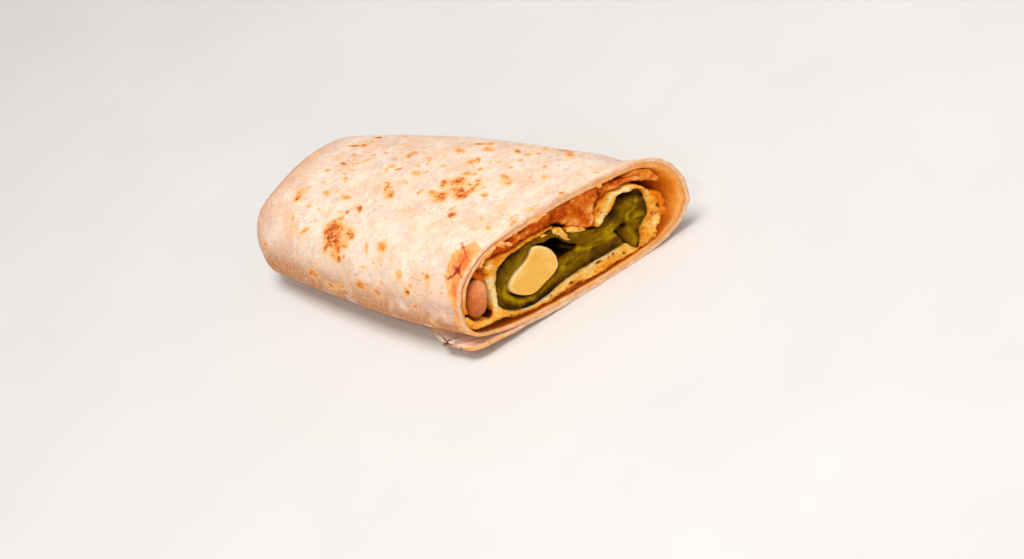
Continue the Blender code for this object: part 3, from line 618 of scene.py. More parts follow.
class Graph:
    """Shader nodes of one material, in millimetres."""

    def __init__(self, name):
        self.material = bpy.data.materials.new(name)
        self.material.use_nodes = True
        self.tree = self.material.node_tree
        self.shader = self.tree.nodes["Principled BSDF"]
        place = self.add("ShaderNodeTexCoord").outputs["Object"]
        self.place = self.vector("SCALE", place, 1.0 / MM)

    def add(self, kind, inputs=(), **settings):
        """A node with some inputs set, by name or number."""
        node = self.tree.nodes.new(kind)
        for key, value in settings.items():
            setattr(node, key, value)
        for key, value in dict(inputs).items():
            self.feed(node.inputs[key], value)
        return node

    def feed(self, socket, value):
        if isinstance(value, bpy.types.NodeSocket):
            self.tree.links.new(value, socket)
        elif socket.type == "RGBA":
            socket.default_value = (*value, 1.0)
        else:
            socket.default_value = value

    def vector(self, operation, a, b):
        second = "Scale" if operation == "SCALE" else 1
        return self.add("ShaderNodeVectorMath", {0: a, second: b}, operation=operation).outputs[0]

    def math(self, operation, a, b):
        return self.add("ShaderNodeMath", {0: a, 1: b}, operation=operation).outputs[0]

    def noise(self, size, detail=3.0, rough=0.55, stretch=None, shift=0.0):
        place = self.vector("MULTIPLY", self.place, stretch) if stretch else self.place
        if shift:
            place = self.vector("ADD", place, (shift, shift * 1.7, shift * 0.6))
        return self.add("ShaderNodeTexNoise", {"Vector": place, "Scale": 1.0 / size, "Detail": detail,
                                               "Roughness": rough}).outputs["Fac"]

    def dots(self, size, radius, share):
        """Round specks: 1 in the middle of a share of the cells, 0 outside."""
        node = self.add("ShaderNodeTexVoronoi", {"Vector": self.place, "Scale": 1.0 / size})
        near = self.ease(node.outputs["Distance"], radius, radius * 0.4)
        split = self.add("ShaderNodeSeparateColor", {0: node.outputs["Color"]})
        return self.times(near, self.math("LESS_THAN", split.outputs[0], share))

    def lines(self, size, width, wander):
        """Thin wandering lines between the cells of a net."""
        bent = self.add("ShaderNodeTexNoise", {"Vector": self.place, "Scale": 0.7 / size, "Detail": 3.0})
        place = self.vector("ADD", self.vector("SCALE", self.place, 1.0 / size),
                            self.vector("SCALE", bent.outputs["Color"], wander))
        node = self.add("ShaderNodeTexVoronoi", {"Vector": place, "Scale": 1.0}, feature="DISTANCE_TO_EDGE")
        return self.ease(node.outputs["Distance"], width, width * 0.2)

    def ease(self, value, low, high):
        """Smooth step from 0 at low to 1 at high."""
        return self.add("ShaderNodeMapRange", {"Value": value, "From Min": low, "From Max": high},
                        interpolation_type="SMOOTHSTEP").outputs[0]

    def scaled(self, value, low, high, to_low, to_high):
        return self.add("ShaderNodeMapRange", {"Value": value, "From Min": low, "From Max": high,
                                               "To Min": to_low, "To Max": to_high}).outputs[0]

    def times(self, a, b):
        return self.math("MULTIPLY", a, b)

    def patches(self, low, high, size, *noise, **more):
        """Noise cut down to patches with soft edges."""
        return self.ease(self.noise(size, *noise, **more), low, high)

    def spread(self, noise, to_low, to_high):
        """The usual range of a noise turned into another range."""
        return self.scaled(noise, 0.3, 0.7, to_low, to_high)

    def stirred(self, value, noise, reach):
        """A value moved up and down by a noise."""
        return self.math("ADD", value, self.spread(noise, -reach, reach))

    def ramp(self, value, stops):
        """Screen colours along a value."""
        node = self.add("ShaderNodeValToRGB", {0: value})
        points = node.color_ramp.elements
        while len(points) < len(stops):
            points.new(0.5)
        for element, (at, tone) in zip(points, stops):
            element.position = at
            element.color = (*colour(*tone), 1.0)
        return node.outputs[0]

    def mix(self, factor, a, b):
        return self.add("ShaderNodeMix", {0: factor, 6: a, 7: b}, data_type="RGBA").outputs[2]

    def tint(self, shade, factor, tone, amount=None):
        """A screen colour laid over a shade."""
        return self.mix(self.times(factor, amount) if amount else factor, shade, colour(*tone))

    def layer(self, name):
        return self.add("ShaderNodeAttribute", attribute_name=name).outputs["Fac"]

    def bump(self, height, depth):
        return self.add("ShaderNodeBump", {"Height": height, "Strength": 1.0,
                                           "Distance": depth * MM}).outputs[0]

    def finish(self, shade, rough, normal, gloss=0.5, tint=(1.0, 1.0, 1.0), glow=0.0,
               glow_reach=(1.0, 0.5, 0.25), glow_size=1.0):
        for name, value in {"Base Color": shade, "Roughness": rough, "Normal": normal,
                            "Specular IOR Level": gloss, "Specular Tint": tint, "Subsurface Weight": glow,
                            "Subsurface Radius": glow_reach, "Subsurface Scale": glow_size * MM}.items():
            self.feed(self.shader.inputs[name], value)
        return self.material


TOAST_STEPS = [                     # from, to, screen colour
    (0.20, 0.72, (250, 164, 82)), (0.62, 1.12, (228, 120, 48)), (1.15, 1.65, (160, 74, 28)),
    (1.90, 2.40, (52, 22, 10)),
]


def skin_material():
    g = Graph("tortilla_skin")
    names = ("toast", "stain", "crack", "soak_and_shading", "edge", "griddle_and_shade")
    toast, stain, crack, soak_and_shading, edge, griddle_and_shade = [g.layer(name) for name in names]
    broad, medium = g.noise(11.0, 4.0, 0.6), g.noise(2.4, 4.0, 0.65, shift=9.0)
    fine, grain = g.noise(0.95, 3.0, 0.6, shift=31.0), g.noise(0.32, 3.0, 0.6)

    # pale, thin, warm, floury and ochre patches
    shade = g.ramp(broad, [(0.32, (251, 229, 211)), (0.50, (249, 217, 192)), (0.68, (240, 193, 160))])
    shade = g.tint(shade, g.patches(0.50, 0.64, 6.0, 4.0, 0.65, shift=57.0), (226, 202, 191), 0.70)
    shade = g.tint(shade, g.patches(0.50, 0.68, 5.0, 5.0, 0.7, shift=83.0), (250, 194, 146), 0.75)
    shade = g.tint(shade, g.patches(0.48, 0.70, 2.6, 4.0, 0.65, shift=19.0), (255, 243, 230), 0.40)
    shade = g.tint(shade, g.ease(medium, 0.55, 0.76), (218, 164, 122), 0.32)
    streaked = g.times(g.patches(0.57, 0.70, 1.5, 4.0, 0.65, stretch=(0.30, 1.0, 1.0), shift=41.0),
                       g.patches(0.44, 0.60, 9.0, 2.0, 0.5, shift=15.0))
    shade = g.tint(shade, streaked, (226, 158, 104), 0.55)
    # thin wrinkle lines, darkened as painted shade in the creases
    wrinkled = g.times(g.lines(2.1, 0.055, 1.3), g.patches(0.42, 0.60, 6.5, 3.0, 0.6, shift=25.0))
    shade = g.tint(shade, wrinkled, (178, 146, 128), 0.13)

    # toasted marks, from a pale halo to char
    # browner low on the near side: griddle marks, with painted shade where the roll turns under
    scorch_and_shade = g.mix(g.ease(fine, 0.35, 0.65), colour(194, 121, 70), colour(226, 166, 116))
    shade = g.mix(griddle_and_shade, shade, scorch_and_shade)
    shade = g.tint(shade, g.ease(g.stirred(toast, medium, 0.10), 0.02, 0.46), (254, 198, 136))
    rough_toast = g.times(toast, g.spread(fine, 0.30, 1.60))
    for low, high, tone in TOAST_STEPS:
        shade = g.tint(shade, g.ease(rough_toast, low, high), tone)
    dashes = g.times(g.patches(0.53, 0.62, 2.2, 2.0, 0.5, stretch=(0.62, 1.5, 1.2), shift=71.0),
                     g.ease(toast, 0.22, 0.62))
    shade = g.tint(shade, dashes, (196, 90, 32), 0.75)
    char = g.times(g.patches(0.57, 0.64, 1.7, 2.0, 0.5, stretch=(0.62, 1.6, 1.2), shift=91.0),
                   g.ease(toast, 0.45, 0.90))
    shade = g.tint(shade, char, (142, 62, 22), 0.85)
    loose = g.times(g.patches(0.66, 0.72, 0.75, 1.0, 0.5, stretch=(0.6, 1.3, 1.0), shift=13.0),
                    g.patches(0.46, 0.62, 8.0, 3.0, 0.6, shift=37.0))
    shade = g.tint(shade, loose, (178, 104, 58), 0.80)
    specks = g.times(g.dots(1.35, 0.20, 0.50), g.patches(0.40, 0.58, 6.0, 3.0, 0.6, shift=5.0))
    shade = g.tint(shade, specks, (190, 124, 78), 0.75)
    pins = g.times(g.dots(1.9, 0.11, 0.45), g.spread(broad, 0.4, 1.0))
    shade = g.tint(shade, pins, (112, 70, 46), 0.85)

    # oil and sauce that have come through, and the crack in the stain
    oily = g.mix(g.ease(medium, 0.36, 0.64), colour(246, 158, 80), colour(253, 190, 118))
    broken = g.stirred(stain, fine, 0.30)
    shade = g.mix(g.ease(broken, 0.30, 0.62), shade, oily)
    shade = g.tint(shade, g.ease(broken, 1.05, 1.6), (238, 128, 60))
    thin_crack = g.stirred(crack, fine, 0.10)
    shade = g.tint(shade, g.ease(thin_crack, 0.60, 0.80), (226, 108, 52), 0.6)
    shade = g.tint(shade, g.ease(thin_crack, 0.78, 0.94), (178, 52, 26))
    shade = g.tint(shade, g.ease(thin_crack, 1.0, 1.15), (140, 22, 12))
    # sauce drawn into the inner side, with painted shade deeper in the roll and painted light on the wall
    # at the right
    soaked_and_shaded = g.ramp(g.stirred(soak_and_shading, medium, 0.08),
                    [(0.0, (250, 208, 172)), (0.20, (250, 176, 94)), (0.40, (246, 146, 28)),
                     (0.64, (226, 108, 4)), (0.84, (158, 62, 4)), (1.0, (88, 26, 3))])
    shade = g.mix(g.ease(soak_and_shading, 0.02, 0.18), shade, soaked_and_shaded)
    crumb = g.patches(0.40, 0.60, 1.8, 4.0, 0.7, shift=3.0)
    cut = g.mix(crumb, colour(236, 172, 122), colour(250, 207, 170))
    shade = g.mix(g.times(edge, g.scaled(soak_and_shading, 0.0, 0.32, 0.85, 0.03)), shade, cut)

    height = g.math("ADD", g.times(fine, 0.55), g.times(grain, 0.25))
    height = g.math("ADD", height, g.times(medium, 0.7))
    height = g.math("SUBTRACT", height, g.times(g.math("ADD", specks, pins), 0.5))
    height = g.math("SUBTRACT", height, g.times(wrinkled, 0.22))
    rough = g.scaled(g.math("ADD", stain, soak_and_shading), 0.0, 1.2, 0.70, 0.40)
    return g.finish(shade, rough, g.bump(height, 0.34), gloss=0.25, glow=0.25, glow_reach=(1.0, 0.45, 0.22),
                    glow_size=1.6)


def beans_material():
    g = Graph("refried_beans_paste")
    fine = g.noise(0.7, 3.0, 0.65)
    shade = g.ramp(g.stirred(g.layer("tone"), fine, 0.16),
                   [(0.0, (84, 16, 2)), (0.24, (140, 42, 2)), (0.46, (198, 80, 5)), (0.64, (224, 108, 14)),
                    (0.82, (240, 136, 44)), (1.0, (252, 176, 96))])
    height = g.math("ADD", fine, g.times(g.noise(0.3, 2.0, 0.6), 0.4))
    return g.finish(shade, g.spread(fine, 0.30, 0.55), g.bump(height, 0.45), gloss=0.14,
                    tint=(1.0, 0.62, 0.30), glow=0.12, glow_reach=(1.0, 0.3, 0.1), glow_size=1.2)


def batter_material():
    g = Graph("egg_batter_crumb")
    fine = g.noise(0.8, 3.0, 0.65)
    shade = g.ramp(g.stirred(g.layer("tone"), fine, 0.14),
                   [(0.0, (52, 16, 3)), (0.08, (116, 52, 5)), (0.24, (190, 98, 10)), (0.44, (240, 148, 34)),
                    (0.62, (249, 170, 54)), (0.80, (250, 194, 96)), (1.0, (253, 223, 160))])
    shade = g.tint(shade, g.ease(g.layer("orange"), 0.2, 0.9), (234, 122, 10))
    # painted shade in the pores and the small holes of the crumb
    shade = g.tint(shade, g.ease(g.layer("pore_shade"), 0.25, 0.8), (138, 72, 14))
    holes = g.times(g.dots(1.3, 0.28, 0.55), g.patches(0.40, 0.60, 5.0, 2.0, 0.5, shift=7.0))
    shade = g.tint(shade, holes, (190, 106, 30), 0.55)
    height = g.math("SUBTRACT", g.times(fine, 0.8), holes)
    return g.finish(shade, g.spread(fine, 0.42, 0.62), g.bump(height, 0.4), gloss=0.15,
                    tint=(1.0, 0.85, 0.55), glow=0.25, glow_reach=(1.0, 0.5, 0.2), glow_size=1.3)


def pepper_material():
    g = Graph("pepper_flesh")
    fine, broad = g.noise(0.9, 3.0, 0.6), g.noise(3.0, 3.0, 0.6)
    shade = g.ramp(g.stirred(g.stirred(g.layer("tone"), broad, 0.11), fine, 0.035),
                   [(0.0, (4, 1, 0)), (0.20, (54, 32, 1)), (0.40, (104, 68, 2)), (0.60, (138, 100, 2)),
                    (0.80, (176, 142, 5)), (1.0, (226, 200, 50))])
    height = g.math("ADD", g.times(fine, 0.6), broad)
    return g.finish(shade, g.scaled(fine, 0.35, 0.65, 0.10, 0.36), g.bump(height, 0.8), gloss=0.05,
                    tint=(1.0, 0.90, 0.20), glow=0.12, glow_reach=(0.9, 0.7, 0.08), glow_size=1.2)


def cheese_material():
    g = Graph("cheese_stick")
    fine = g.noise(1.6, 3.0, 0.5)
    shade = g.ramp(g.stirred(g.layer("tone"), fine, 0.08),
                   [(0.0, (200, 118, 14)), (0.35, (242, 172, 64)), (0.7, (250, 192, 90)),
                    (1.0, (255, 222, 150))])
    height = g.math("ADD", fine, g.times(g.noise(0.4, 2.0, 0.5), 0.3))
    return g.finish(shade, g.spread(fine, 0.32, 0.46), g.bump(height, 0.14), gloss=0.35,
                    tint=(1.0, 0.9, 0.6), glow=0.30, glow_reach=(1.0, 0.7, 0.25), glow_size=1.6)


def bean_material():
    g = Graph("pinto_bean_skin")
    fine, broad = g.noise(0.8, 3.0, 0.55), g.noise(2.6, 3.0, 0.6)
    shade = g.ramp(g.stirred(g.layer("tone"), broad, 0.16),
                   [(0.1, (150, 62, 16)), (0.35, (206, 106, 44)), (0.6, (222, 136, 82)),
                    (0.85, (240, 172, 126))])
    shade = g.tint(shade, g.ease(fine, 0.54, 0.70), (180, 80, 32), 0.45)
    return g.finish(shade, g.spread(fine, 0.26, 0.42), g.bump(fine, 0.10), gloss=0.35,
                    tint=(1.0, 0.8, 0.6), glow=0.25, glow_reach=(1.0, 0.4, 0.2), glow_size=1.3)


def sauce_and_shade_material():
    g = Graph("red_sauce_and_shade")
    # dark red sauce, also used for the dark strips that stand for shade in gaps
    fine = g.noise(1.2, 3.0, 0.6)
    shade = g.ramp(fine, [(0.3, (96, 14, 2)), (0.5, (160, 56, 4)), (0.7, (214, 106, 10))])
    return g.finish(shade, g.spread(fine, 0.18, 0.40), g.bump(fine, 0.25), gloss=0.45, tint=(1.0, 0.6, 0.3))


# ---- the tortilla ----
def scattered():
    """Toasted spots on the sides that the marks leave out."""
    draw = np.random.default_rng(11)
    spots = []
    for _ in range(26):
        x, arc = draw.uniform(*SCATTERED[:2]), draw.uniform(*SCATTERED[2:])
        for _ in range(draw.integers(1, 6)):
            size = draw.uniform(0.6, 2.4)
            spots.append((x + draw.normal(0.0, 3.4), arc + draw.normal(0.0, 3.4), size,
                          size * draw.uniform(0.4, 1.0), draw.uniform(-80, 80), draw.uniform(0.4, 1.1)))
    return spots


def streaks():
    """Short slanting streaks on the upper side."""
    draw = np.random.default_rng(5)
    spots = []
    for _ in range(64):
        x, arc = draw.uniform(*STREAKED[:2]), draw.uniform(*STREAKED[2:])
        turn = -8.0 - 28.0 * x / LENGTH + draw.normal(0.0, 9.0)
        size = draw.uniform(0.8, 2.3)
        spots.append((x, arc, size, draw.uniform(0.35, 0.6), turn, draw.uniform(0.35, 0.95)))
        if draw.uniform() < 0.5:
            spots.append((x + draw.normal(0, 1.2), arc + draw.normal(0, 1.2), size * 1.3, size * 0.8,
                          turn, 0.22))
    return spots


def sheet_stations():
    """Rows of the sheet from the closed end to the cut."""
    rows = [("end", END_ROUND * (1.0 - math.cos(t))) for t in np.linspace(0.0, math.pi / 2, 12)]
    rows += [("end", x) for x in np.arange(10.2, BODY_LAST, 0.78)]
    rows += [("mid", t) for t in np.linspace(0.0, 1.0, 30, endpoint=False)]
    rows += [("cut", b) for b in np.arange(SWELL_DEPTH, 12.0, -0.85)]
    rows += [("cut", b) for b in np.arange(12.0, RIM_ROUND + 0.2, -0.58)]
    return rows + [("cut", RIM_ROUND)]


class Sheet:
    """The wound sheet in rows across the roll; its columns run from the inner to the free edge."""

    def __init__(self):
        self.run = lengths(sheet_middle(0.0))
        whole = self.run[-1]
        hidden = self.run[int(SHEET_POINTS * HIDDEN_TURNS / TURNS)]
        self.at = np.concatenate([np.arange(0.0, hidden, 1.35),
                                  np.linspace(hidden, whole, int((whole - hidden) / 0.67))])
        turn_of = np.linspace(0.0, TURNS, SHEET_POINTS)[:LAST_WOUND + 1]
        self.around = lengths(wound(np.linspace(0.0, 1.0, 1500), np.ones(1500)))[-1]
        tail = turn_of[-1] + (self.run[LAST_WOUND + 1:] - self.run[LAST_WOUND]) / self.around
        turn = np.interp(self.at, self.run, np.concatenate([turn_of, tail]))
        self.arc = (turn - 1.0) * self.around
        self.flare = wound(turn, np.zeros_like(turn))
        self.to_edge = whole - self.at
        near_edge = np.clip(FLAP_CORNER - self.to_edge, 0.0, FLAP_CORNER)
        corner = FLAP_CORNER - np.sqrt(FLAP_CORNER ** 2 - near_edge ** 2)
        on_turn = self.arc % self.around
        p = np.column_stack([on_turn, np.zeros_like(on_turn), np.zeros_like(on_turn)])
        self.uneven = 0.34 * lumps(p, 6.0, 3, 3) + 0.16 * lumps(p, 1.3, 2, 5) + corner
        self.pressed = step(on_turn, 22.0, 48.0)

    def section(self, stand_off):
        """Middle of the sheet and its direction to the outside; only the tail stretches."""
        path = sheet_middle(stand_off)
        run, last = lengths(path), self.run[LAST_WOUND]
        free = (self.at - last) * (run[-1] - last) / (self.run[-1] - last)
        at = np.where(self.at > last, last + free, self.at)
        return sample(at, run, path), sample(at, run, leftwards(np.gradient(path, axis=0)))

    def row(self, station, side):
        """A row of the outer side (1), the inner side (-1) or the rim between them."""
        kind, value = station
        behind = value if kind == "cut" else FAR_BACK
        stand_off = float(1.0 - step(behind, FLAP_FULL, FLAP_SHUT_AT))
        middle, left = self.section(stand_off)
        half = SHEET / 2 + PRESSED_LAYERS * self.pressed * (1.0 - step(behind, PRESSED_REACH, SWELL_DEPTH))
        frill = 0.28 * math.sin(behind * 1.15) + 0.16 * math.sin(behind * 2.3 + 1.0)
        frill = step(-self.to_edge, -7.0, 0.0) * frill * stand_off
        place = middle + left * (side * half + frill)[:, None]
        if kind == "cut":
            if behind < RIM_ROUND:
                value = behind * (1.0 - RIM_PRESSED * self.pressed)
            value = value + self.uneven * math.exp(-behind / 4.0)
        return point(place[:, 0], place[:, 1], (kind, value), self.flare)


def skin_relief(outer, on_arc, toast, outside, reach):
    """The outer side with its low bumps, and how near its points are to a crack."""
    normal = np.cross(np.gradient(outer, axis=1), np.gradient(outer, axis=0))
    normal /= np.maximum(np.linalg.norm(normal, axis=2), 1e-9)[..., None]
    middle = len(outer) // 4
    if (normal[middle, :, 2] * np.sign(outer[middle, :, 2])).sum() < 0:
        normal = -normal
    bump = 0.34 * noise(outer, 15.0, 1) + 0.16 * noise(outer, 6.0, 2) + 0.06 * noise(outer, 2.4, 4)
    fold = noise(outer * np.array([0.25, 1.0, 1.0]), 3.2, 6)
    bump += 0.16 * step(fold, 0.25, 0.9) * step(noise(outer, 22.0, 8), -0.2, 0.5)
    bump += 0.10 * np.clip(toast, 0.0, 1.0) * noise(outer, 1.8, 9)
    line = np.min([distance_to(outer[..., 0], on_arc, crack) for crack in CRACKS], axis=0)
    line = line - 0.5 * marks(outer[..., 0], on_arc, [CRACK_HUB])
    bump -= 0.35 * np.exp(-(line / 0.6) ** 2)
    bump = bump * step(reach, -3.0, 9.0) * (0.15 + 0.85 * outside)
    outer = outer + normal * bump[..., None]
    outer[..., 2] = np.maximum(outer[..., 2], REST_LEVEL)
    return outer, np.clip(1.0 - line / 2.0, 0.0, 1.2) * outside


def browned_and_shaded(outer, outside):
    """The skin is browner low on the near side, from the griddle and as painted shade where the roll turns
    under, and at the closed end.
    """
    low_side = 1.0 - step(outer[..., 2], REST_LEVEL + 12.0, REST_LEVEL + 27.0)
    low_side = low_side * (0.55 + 0.45 * step(-outer[..., 1], -6.0, 6.0))
    low_side = np.maximum(low_side, 0.78 * (1.0 - step(outer[..., 0], 0.0, 22.0)))
    return low_side * step(noise(outer, 7.0, 14) + 0.5 * noise(outer, 2.0, 15), -1.5, -0.2) * outside


def soaked_and_shaded(reach, p):
    """How much sauce the inner side has drawn in, with painted shade that deepens behind the cut and
    painted light on the roof and the wall at the right.
    """
    y, z = p[..., 1], p[..., 2]
    # painted shade: darker the further behind the cut, inside the roll
    deep = (0.28 + 0.24 * step(reach, 0.0, 2.2) + 0.18 * step(reach, 1.5, 8.0)
            + 0.30 * step(reach, 7.0, 20.0))
    # painted light: paler on the overhanging roof and the wall at the right, and paler low at the right
    pale = step(z, 6.0, 12.0) * step(y, 13.0, 21.0) + 0.5 * step(-z, 1.0, 6.0) * step(y, 20.0, 28.0)
    wet = step(-y, 24.0, 31.0) * (1.0 - 2.2 * step(-z, 3.0, 7.0))
    soak_and_shading = deep * (1.0 - 0.55 * np.clip(pale, 0.0, 1.0)) + 0.16 * wet
    return np.clip(soak_and_shading + 0.07 * noise(p, 3.0, 12), 0.0, 1.0)


def soaked_rim(rim, first_turn):
    """The same for the cut edge, most of all on the inner turn at the left."""
    left = step(-rim[..., 1], 22.0, 30.0) * step(-rim[..., 2], -9.0, 4.0) * np.where(first_turn, 0.42, 0.16)
    right = step(rim[..., 1], 6.0, 26.0) * np.where(first_turn, 0.12, 0.04)
    soak_and_shading = 0.06 + left + right + np.where(first_turn, 0.12, 0.0)
    return np.clip(soak_and_shading + 0.06 * noise(rim, 2.0, 13), 0.0, 1.0)


def tortilla(material):
    sheet, stations = Sheet(), sheet_stations()
    arc, around = sheet.arc, sheet.around
    outer = np.array([sheet.row(station, 1.0) for station in stations])
    rim = np.array([sheet.row(("cut", RIM_ROUND * (1.0 - math.sin(a))), math.cos(a))
                    for a in np.radians(RIM_ANGLES)])
    front = [i for i, (kind, value) in enumerate(stations) if kind == "cut" and value <= SKIN_REACH]
    back = list(range(0, 10, 3)) + list(range(12, front[0] - 2, 5))
    inner_rows = front[::-1] + back[::-1]
    inner = np.array([sheet.row(stations[i], -1.0) for i in inner_rows])
    reach = np.array([value if kind == "cut" else FAR_BACK for kind, value in stations])[:, None]
    inner_reach = np.broadcast_to(reach[inner_rows], inner.shape[:2])

    on_arc = np.broadcast_to(arc, outer.shape[:2])
    outside = step(on_arc, -26.0, -18.0)
    spots = (TOASTED, scattered(), streaks())
    toast = sum(marks(outer[..., 0], on_arc, table) for table in spots) * outside
    outer, crack = skin_relief(outer, on_arc, toast, outside, reach)
    stain = marks(outer[..., 0], on_arc, STAINED, 2.0) * outside

    sides = [outer, rim, inner]
    count, n = sum(len(side) for side in sides), len(arc)
    index = np.arange(count * n).reshape(count, n)
    faces = []
    for a, b in zip(index, np.roll(index, -1, 0)):
        faces += np.stack([a[:-1], a[1:], b[1:], b[:-1]], 1).tolist()
    split = len(outer) + 2
    for column in (0, n - 1):
        first = index[:split + 1, column].tolist()
        second = index[split + 1:, column].tolist()[::-1]
        faces += strip(first, second)

    first_turn = arc < INNER_TURN
    upper_left = step(-on_arc % around, 0.60 * around, 0.75 * around)
    hidden = np.where(first_turn, upper_left * (1.0 - step(reach, 3.0, 9.0)) * 0.6, 0.0)
    lapped = np.where(arc > 0.72 * around, 0.0, 1.0)
    plain = np.zeros((len(rim) + len(inner), n))
    layers = {name: np.vstack([values, plain])
              for name, values in {"toast": toast, "stain": stain, "crack": crack,
                                   "griddle_and_shade": browned_and_shaded(outer, outside)}.items()}
    layers["soak_and_shading"] = np.vstack([hidden, soaked_rim(rim, first_turn), lapped * soaked_and_shaded(inner_reach, inner)])
    layers["edge"] = np.vstack([step(-reach, -0.9, -0.3) * np.ones_like(toast), np.ones((len(rim), n)),
                                step(-inner_reach, -0.9, -0.3)])
    verts = np.vstack([side.reshape(-1, 3) for side in sides])
    return made("tortilla_sheet", verts, faces, material, layers)


def folded_end(material):
    """The tucked-in end: rounded fold edges that wind inwards, over a crumpled middle."""
    outline = plug_outline()
    n = len(outline)
    base = body_point(outline[:, 0], outline[:, 1], 1.0)
    theta = np.linspace(0.0, 1.0, n, endpoint=False)
    rings = [body_point(outline[:, 0], outline[:, 1], x) for x in (12.0, 8.0, 3.4)]
    toast = [np.zeros(3 * n)]
    for r in np.linspace(1.0, 0.03, 46):
        p = base.copy()
        p[:, 1] = base[:, 1] * r
        p[:, 2] = END_MIDDLE + (base[:, 2] - END_MIDDLE) * r
        wind = r + 0.16 * theta
        ridge = 0.0
        for at, wide, high in ((0.90, 0.12, 0.8), (0.72, 0.10, 0.7), (0.55, 0.09, 0.5)):
            ridge = ridge + high * np.sqrt(np.clip(1.0 - ((wind - at - 0.06) / wide) ** 2, 0.0, 1.0))
        crumple = 0.55 * noise(p * np.array([1.0, 0.6, 1.3]), 6.0, 21) + 0.22 * noise(p, 2.2, 22)
        ridge = ridge + crumple * (1.0 - r ** 6) * step(1.0 - r, 0.0, 0.15)
        p[:, 0] = DOME_EDGE + 0.7 - END_DOME * (1.0 - r ** 2.2) - ridge * step(1.0 - r, 0.0, 0.08)
        rings.append(p)
        toast.append(0.4 * step(noise(p, 4.0, 23), 0.45, 1.0))
    verts = np.vstack(rings)
    index = np.arange(len(verts)).reshape(-1, n)
    faces = tube(index) + [index[-1].tolist(), index[0].tolist()]
    # browner low down: griddle marks, with painted shade
    low_side = 1.0 - step(verts[:, 2], REST_LEVEL, REST_LEVEL + 14.0)
    griddle_and_shade = np.clip(0.66 + 0.16 * noise(verts, 5.0, 24) + 0.2 * low_side, 0.0, 1.0)
    layers = dict.fromkeys(("stain", "crack", "soak_and_shading", "edge"), np.zeros(len(verts)))
    return made("tortilla_folded_end", verts, faces, material,
                {**layers, "toast": np.concatenate(toast), "griddle_and_shade": griddle_and_shade})


# ---- the fillings ----
def flat_point(s, z, behind=0.0):
    return np.stack([s, z, np.broadcast_to(behind, np.shape(s))], -1)


def beans_relief(s, z, deep):
    p = flat_point(s, z)
    return 1.0 * noise(p, 3.2, 31) + 0.6 * noise(p, 1.5, 32) + 0.28 * noise(p, 0.75, 33)


# painted highlights on the wet lumps, with some paler chunks of the beans' own colour
BEAN_HIGHLIGHTS_AND_PALE = [
    ([(-10.2, 13.8), (-9.8, 13.9)], 0.5, 0.5), ([(0.8, 9.3), (1.4, 9.4)], 0.5, 0.4),
    ([(5, 4.6), (7.6, 4)], 0.8, 0.36), ([(8.8, 4.6), (9.8, 8.6), (11.6, 10.6)], 0.9, 0.24),
    ([(5.6, 14.6), (6.8, 14.6)], 0.5, 0.25), ([(-2.6, 14.8), (-1.6, 14.8)], 0.5, 0.25),
    ([(17.6, 11.2), (22, 10.6), (26, 8.8)], 1.1, 0.30), ([(-23, 13.6), (-20, 14.2)], 0.7, 0.14),
    ([(25, 10.2), (28, 8.4)], 1.4, 0.20), ([(2.4, 7.8), (5.4, 6.2)], 0.7, 0.16),
    ([(3, 7.4), (8, 6.4)], 2.2, 0.12), ([(-16, 13.6), (-13, 13.9)], 0.6, 0.16),
]
# painted shade under the tortilla's rim, along the edges against the batter and in the crevices
BEAN_SHADE = [
    ([(1, 16.4), (6, 16.2)], 0.7, 0.34), ([(10.5, 15.4), (17, 14), (22, 12.4)], 0.6, 0.36),
    ([(14.2, 14.8), (13.8, 12.8), (14, 11.2)], 0.35, 0.35), ([(2, 11.4), (3.4, 10.4)], 0.8, 0.20),
    ([(-14.4, 12.4), (-12.6, 12.2)], 0.6, 0.30), ([(-28.4, 11.4), (-27.2, 8.6)], 1, 0.30),
    ([(-25, 14.4), (-16, 15.8), (-6, 16.2)], 0.5, 0.22), ([(-2.6, 11), (-0.8, 10.2), (1, 8.2)], 0.6, 0.50),
    ([(-24, 12.8), (-12, 12), (-4, 11.8)], 0.45, 0.08),
]


def beans_paint(s, z, behind, deep):
    p = flat_point(s, z, behind)
    tone = 0.58 + 0.22 * noise(p, 3.2, 34) + 0.20 * noise(p, 1.4, 35) + 0.14 * noise(p, 0.7, 36)
    tone = tone + strokes(s, z, BEAN_HIGHLIGHTS_AND_PALE) - strokes(s, z, BEAN_SHADE)
    # darker behind the face: painted shade
    return {"tone": np.clip(tone - 0.2 * step(behind, 1.5, 6.0), 0.0, 1.0)}


PORES = [
    (-5, -11, 1.1, 0.45, -15, 1), (5, -9.9, 1.2, 0.5, 0, 1.1), (8.4, -10.2, 0.5, 0.5, 0, 0.8),
    (10, -10.2, 0.5, 0.6, 0, 0.9), (13.2, -12.2, 0.6, 0.7, 30, 0.8), (-12.4, -10.8, 0.8, 0.5, 20, 0.7),
    (2.6, -12, 0.4, 0.4, 0, 0.6), (12, 8.6, 1.3, 0.5, 50, 0.8), (25.2, 7.2, 0.7, 0.5, 60, 0.7),
    (-25.8, -9, 0.7, 0.5, 0, 0.9), (28, -3.2, 0.5, 1, -30, 0.9), (29.6, -4, 0.6, 0.5, 0, 0.8),
    (19.6, -9, 0.5, 1, -15, 0.5), (21, -7.2, 0.9, 0.5, 50, 0.6), (25.8, -4.6, 1.1, 0.5, 10, 0.8),
]
HOOK = [(-28.5, -6.2), (-32.5, -6.0), (-36.0, -5.2), (-37.9, -3.2)]     # middle of the curled hook
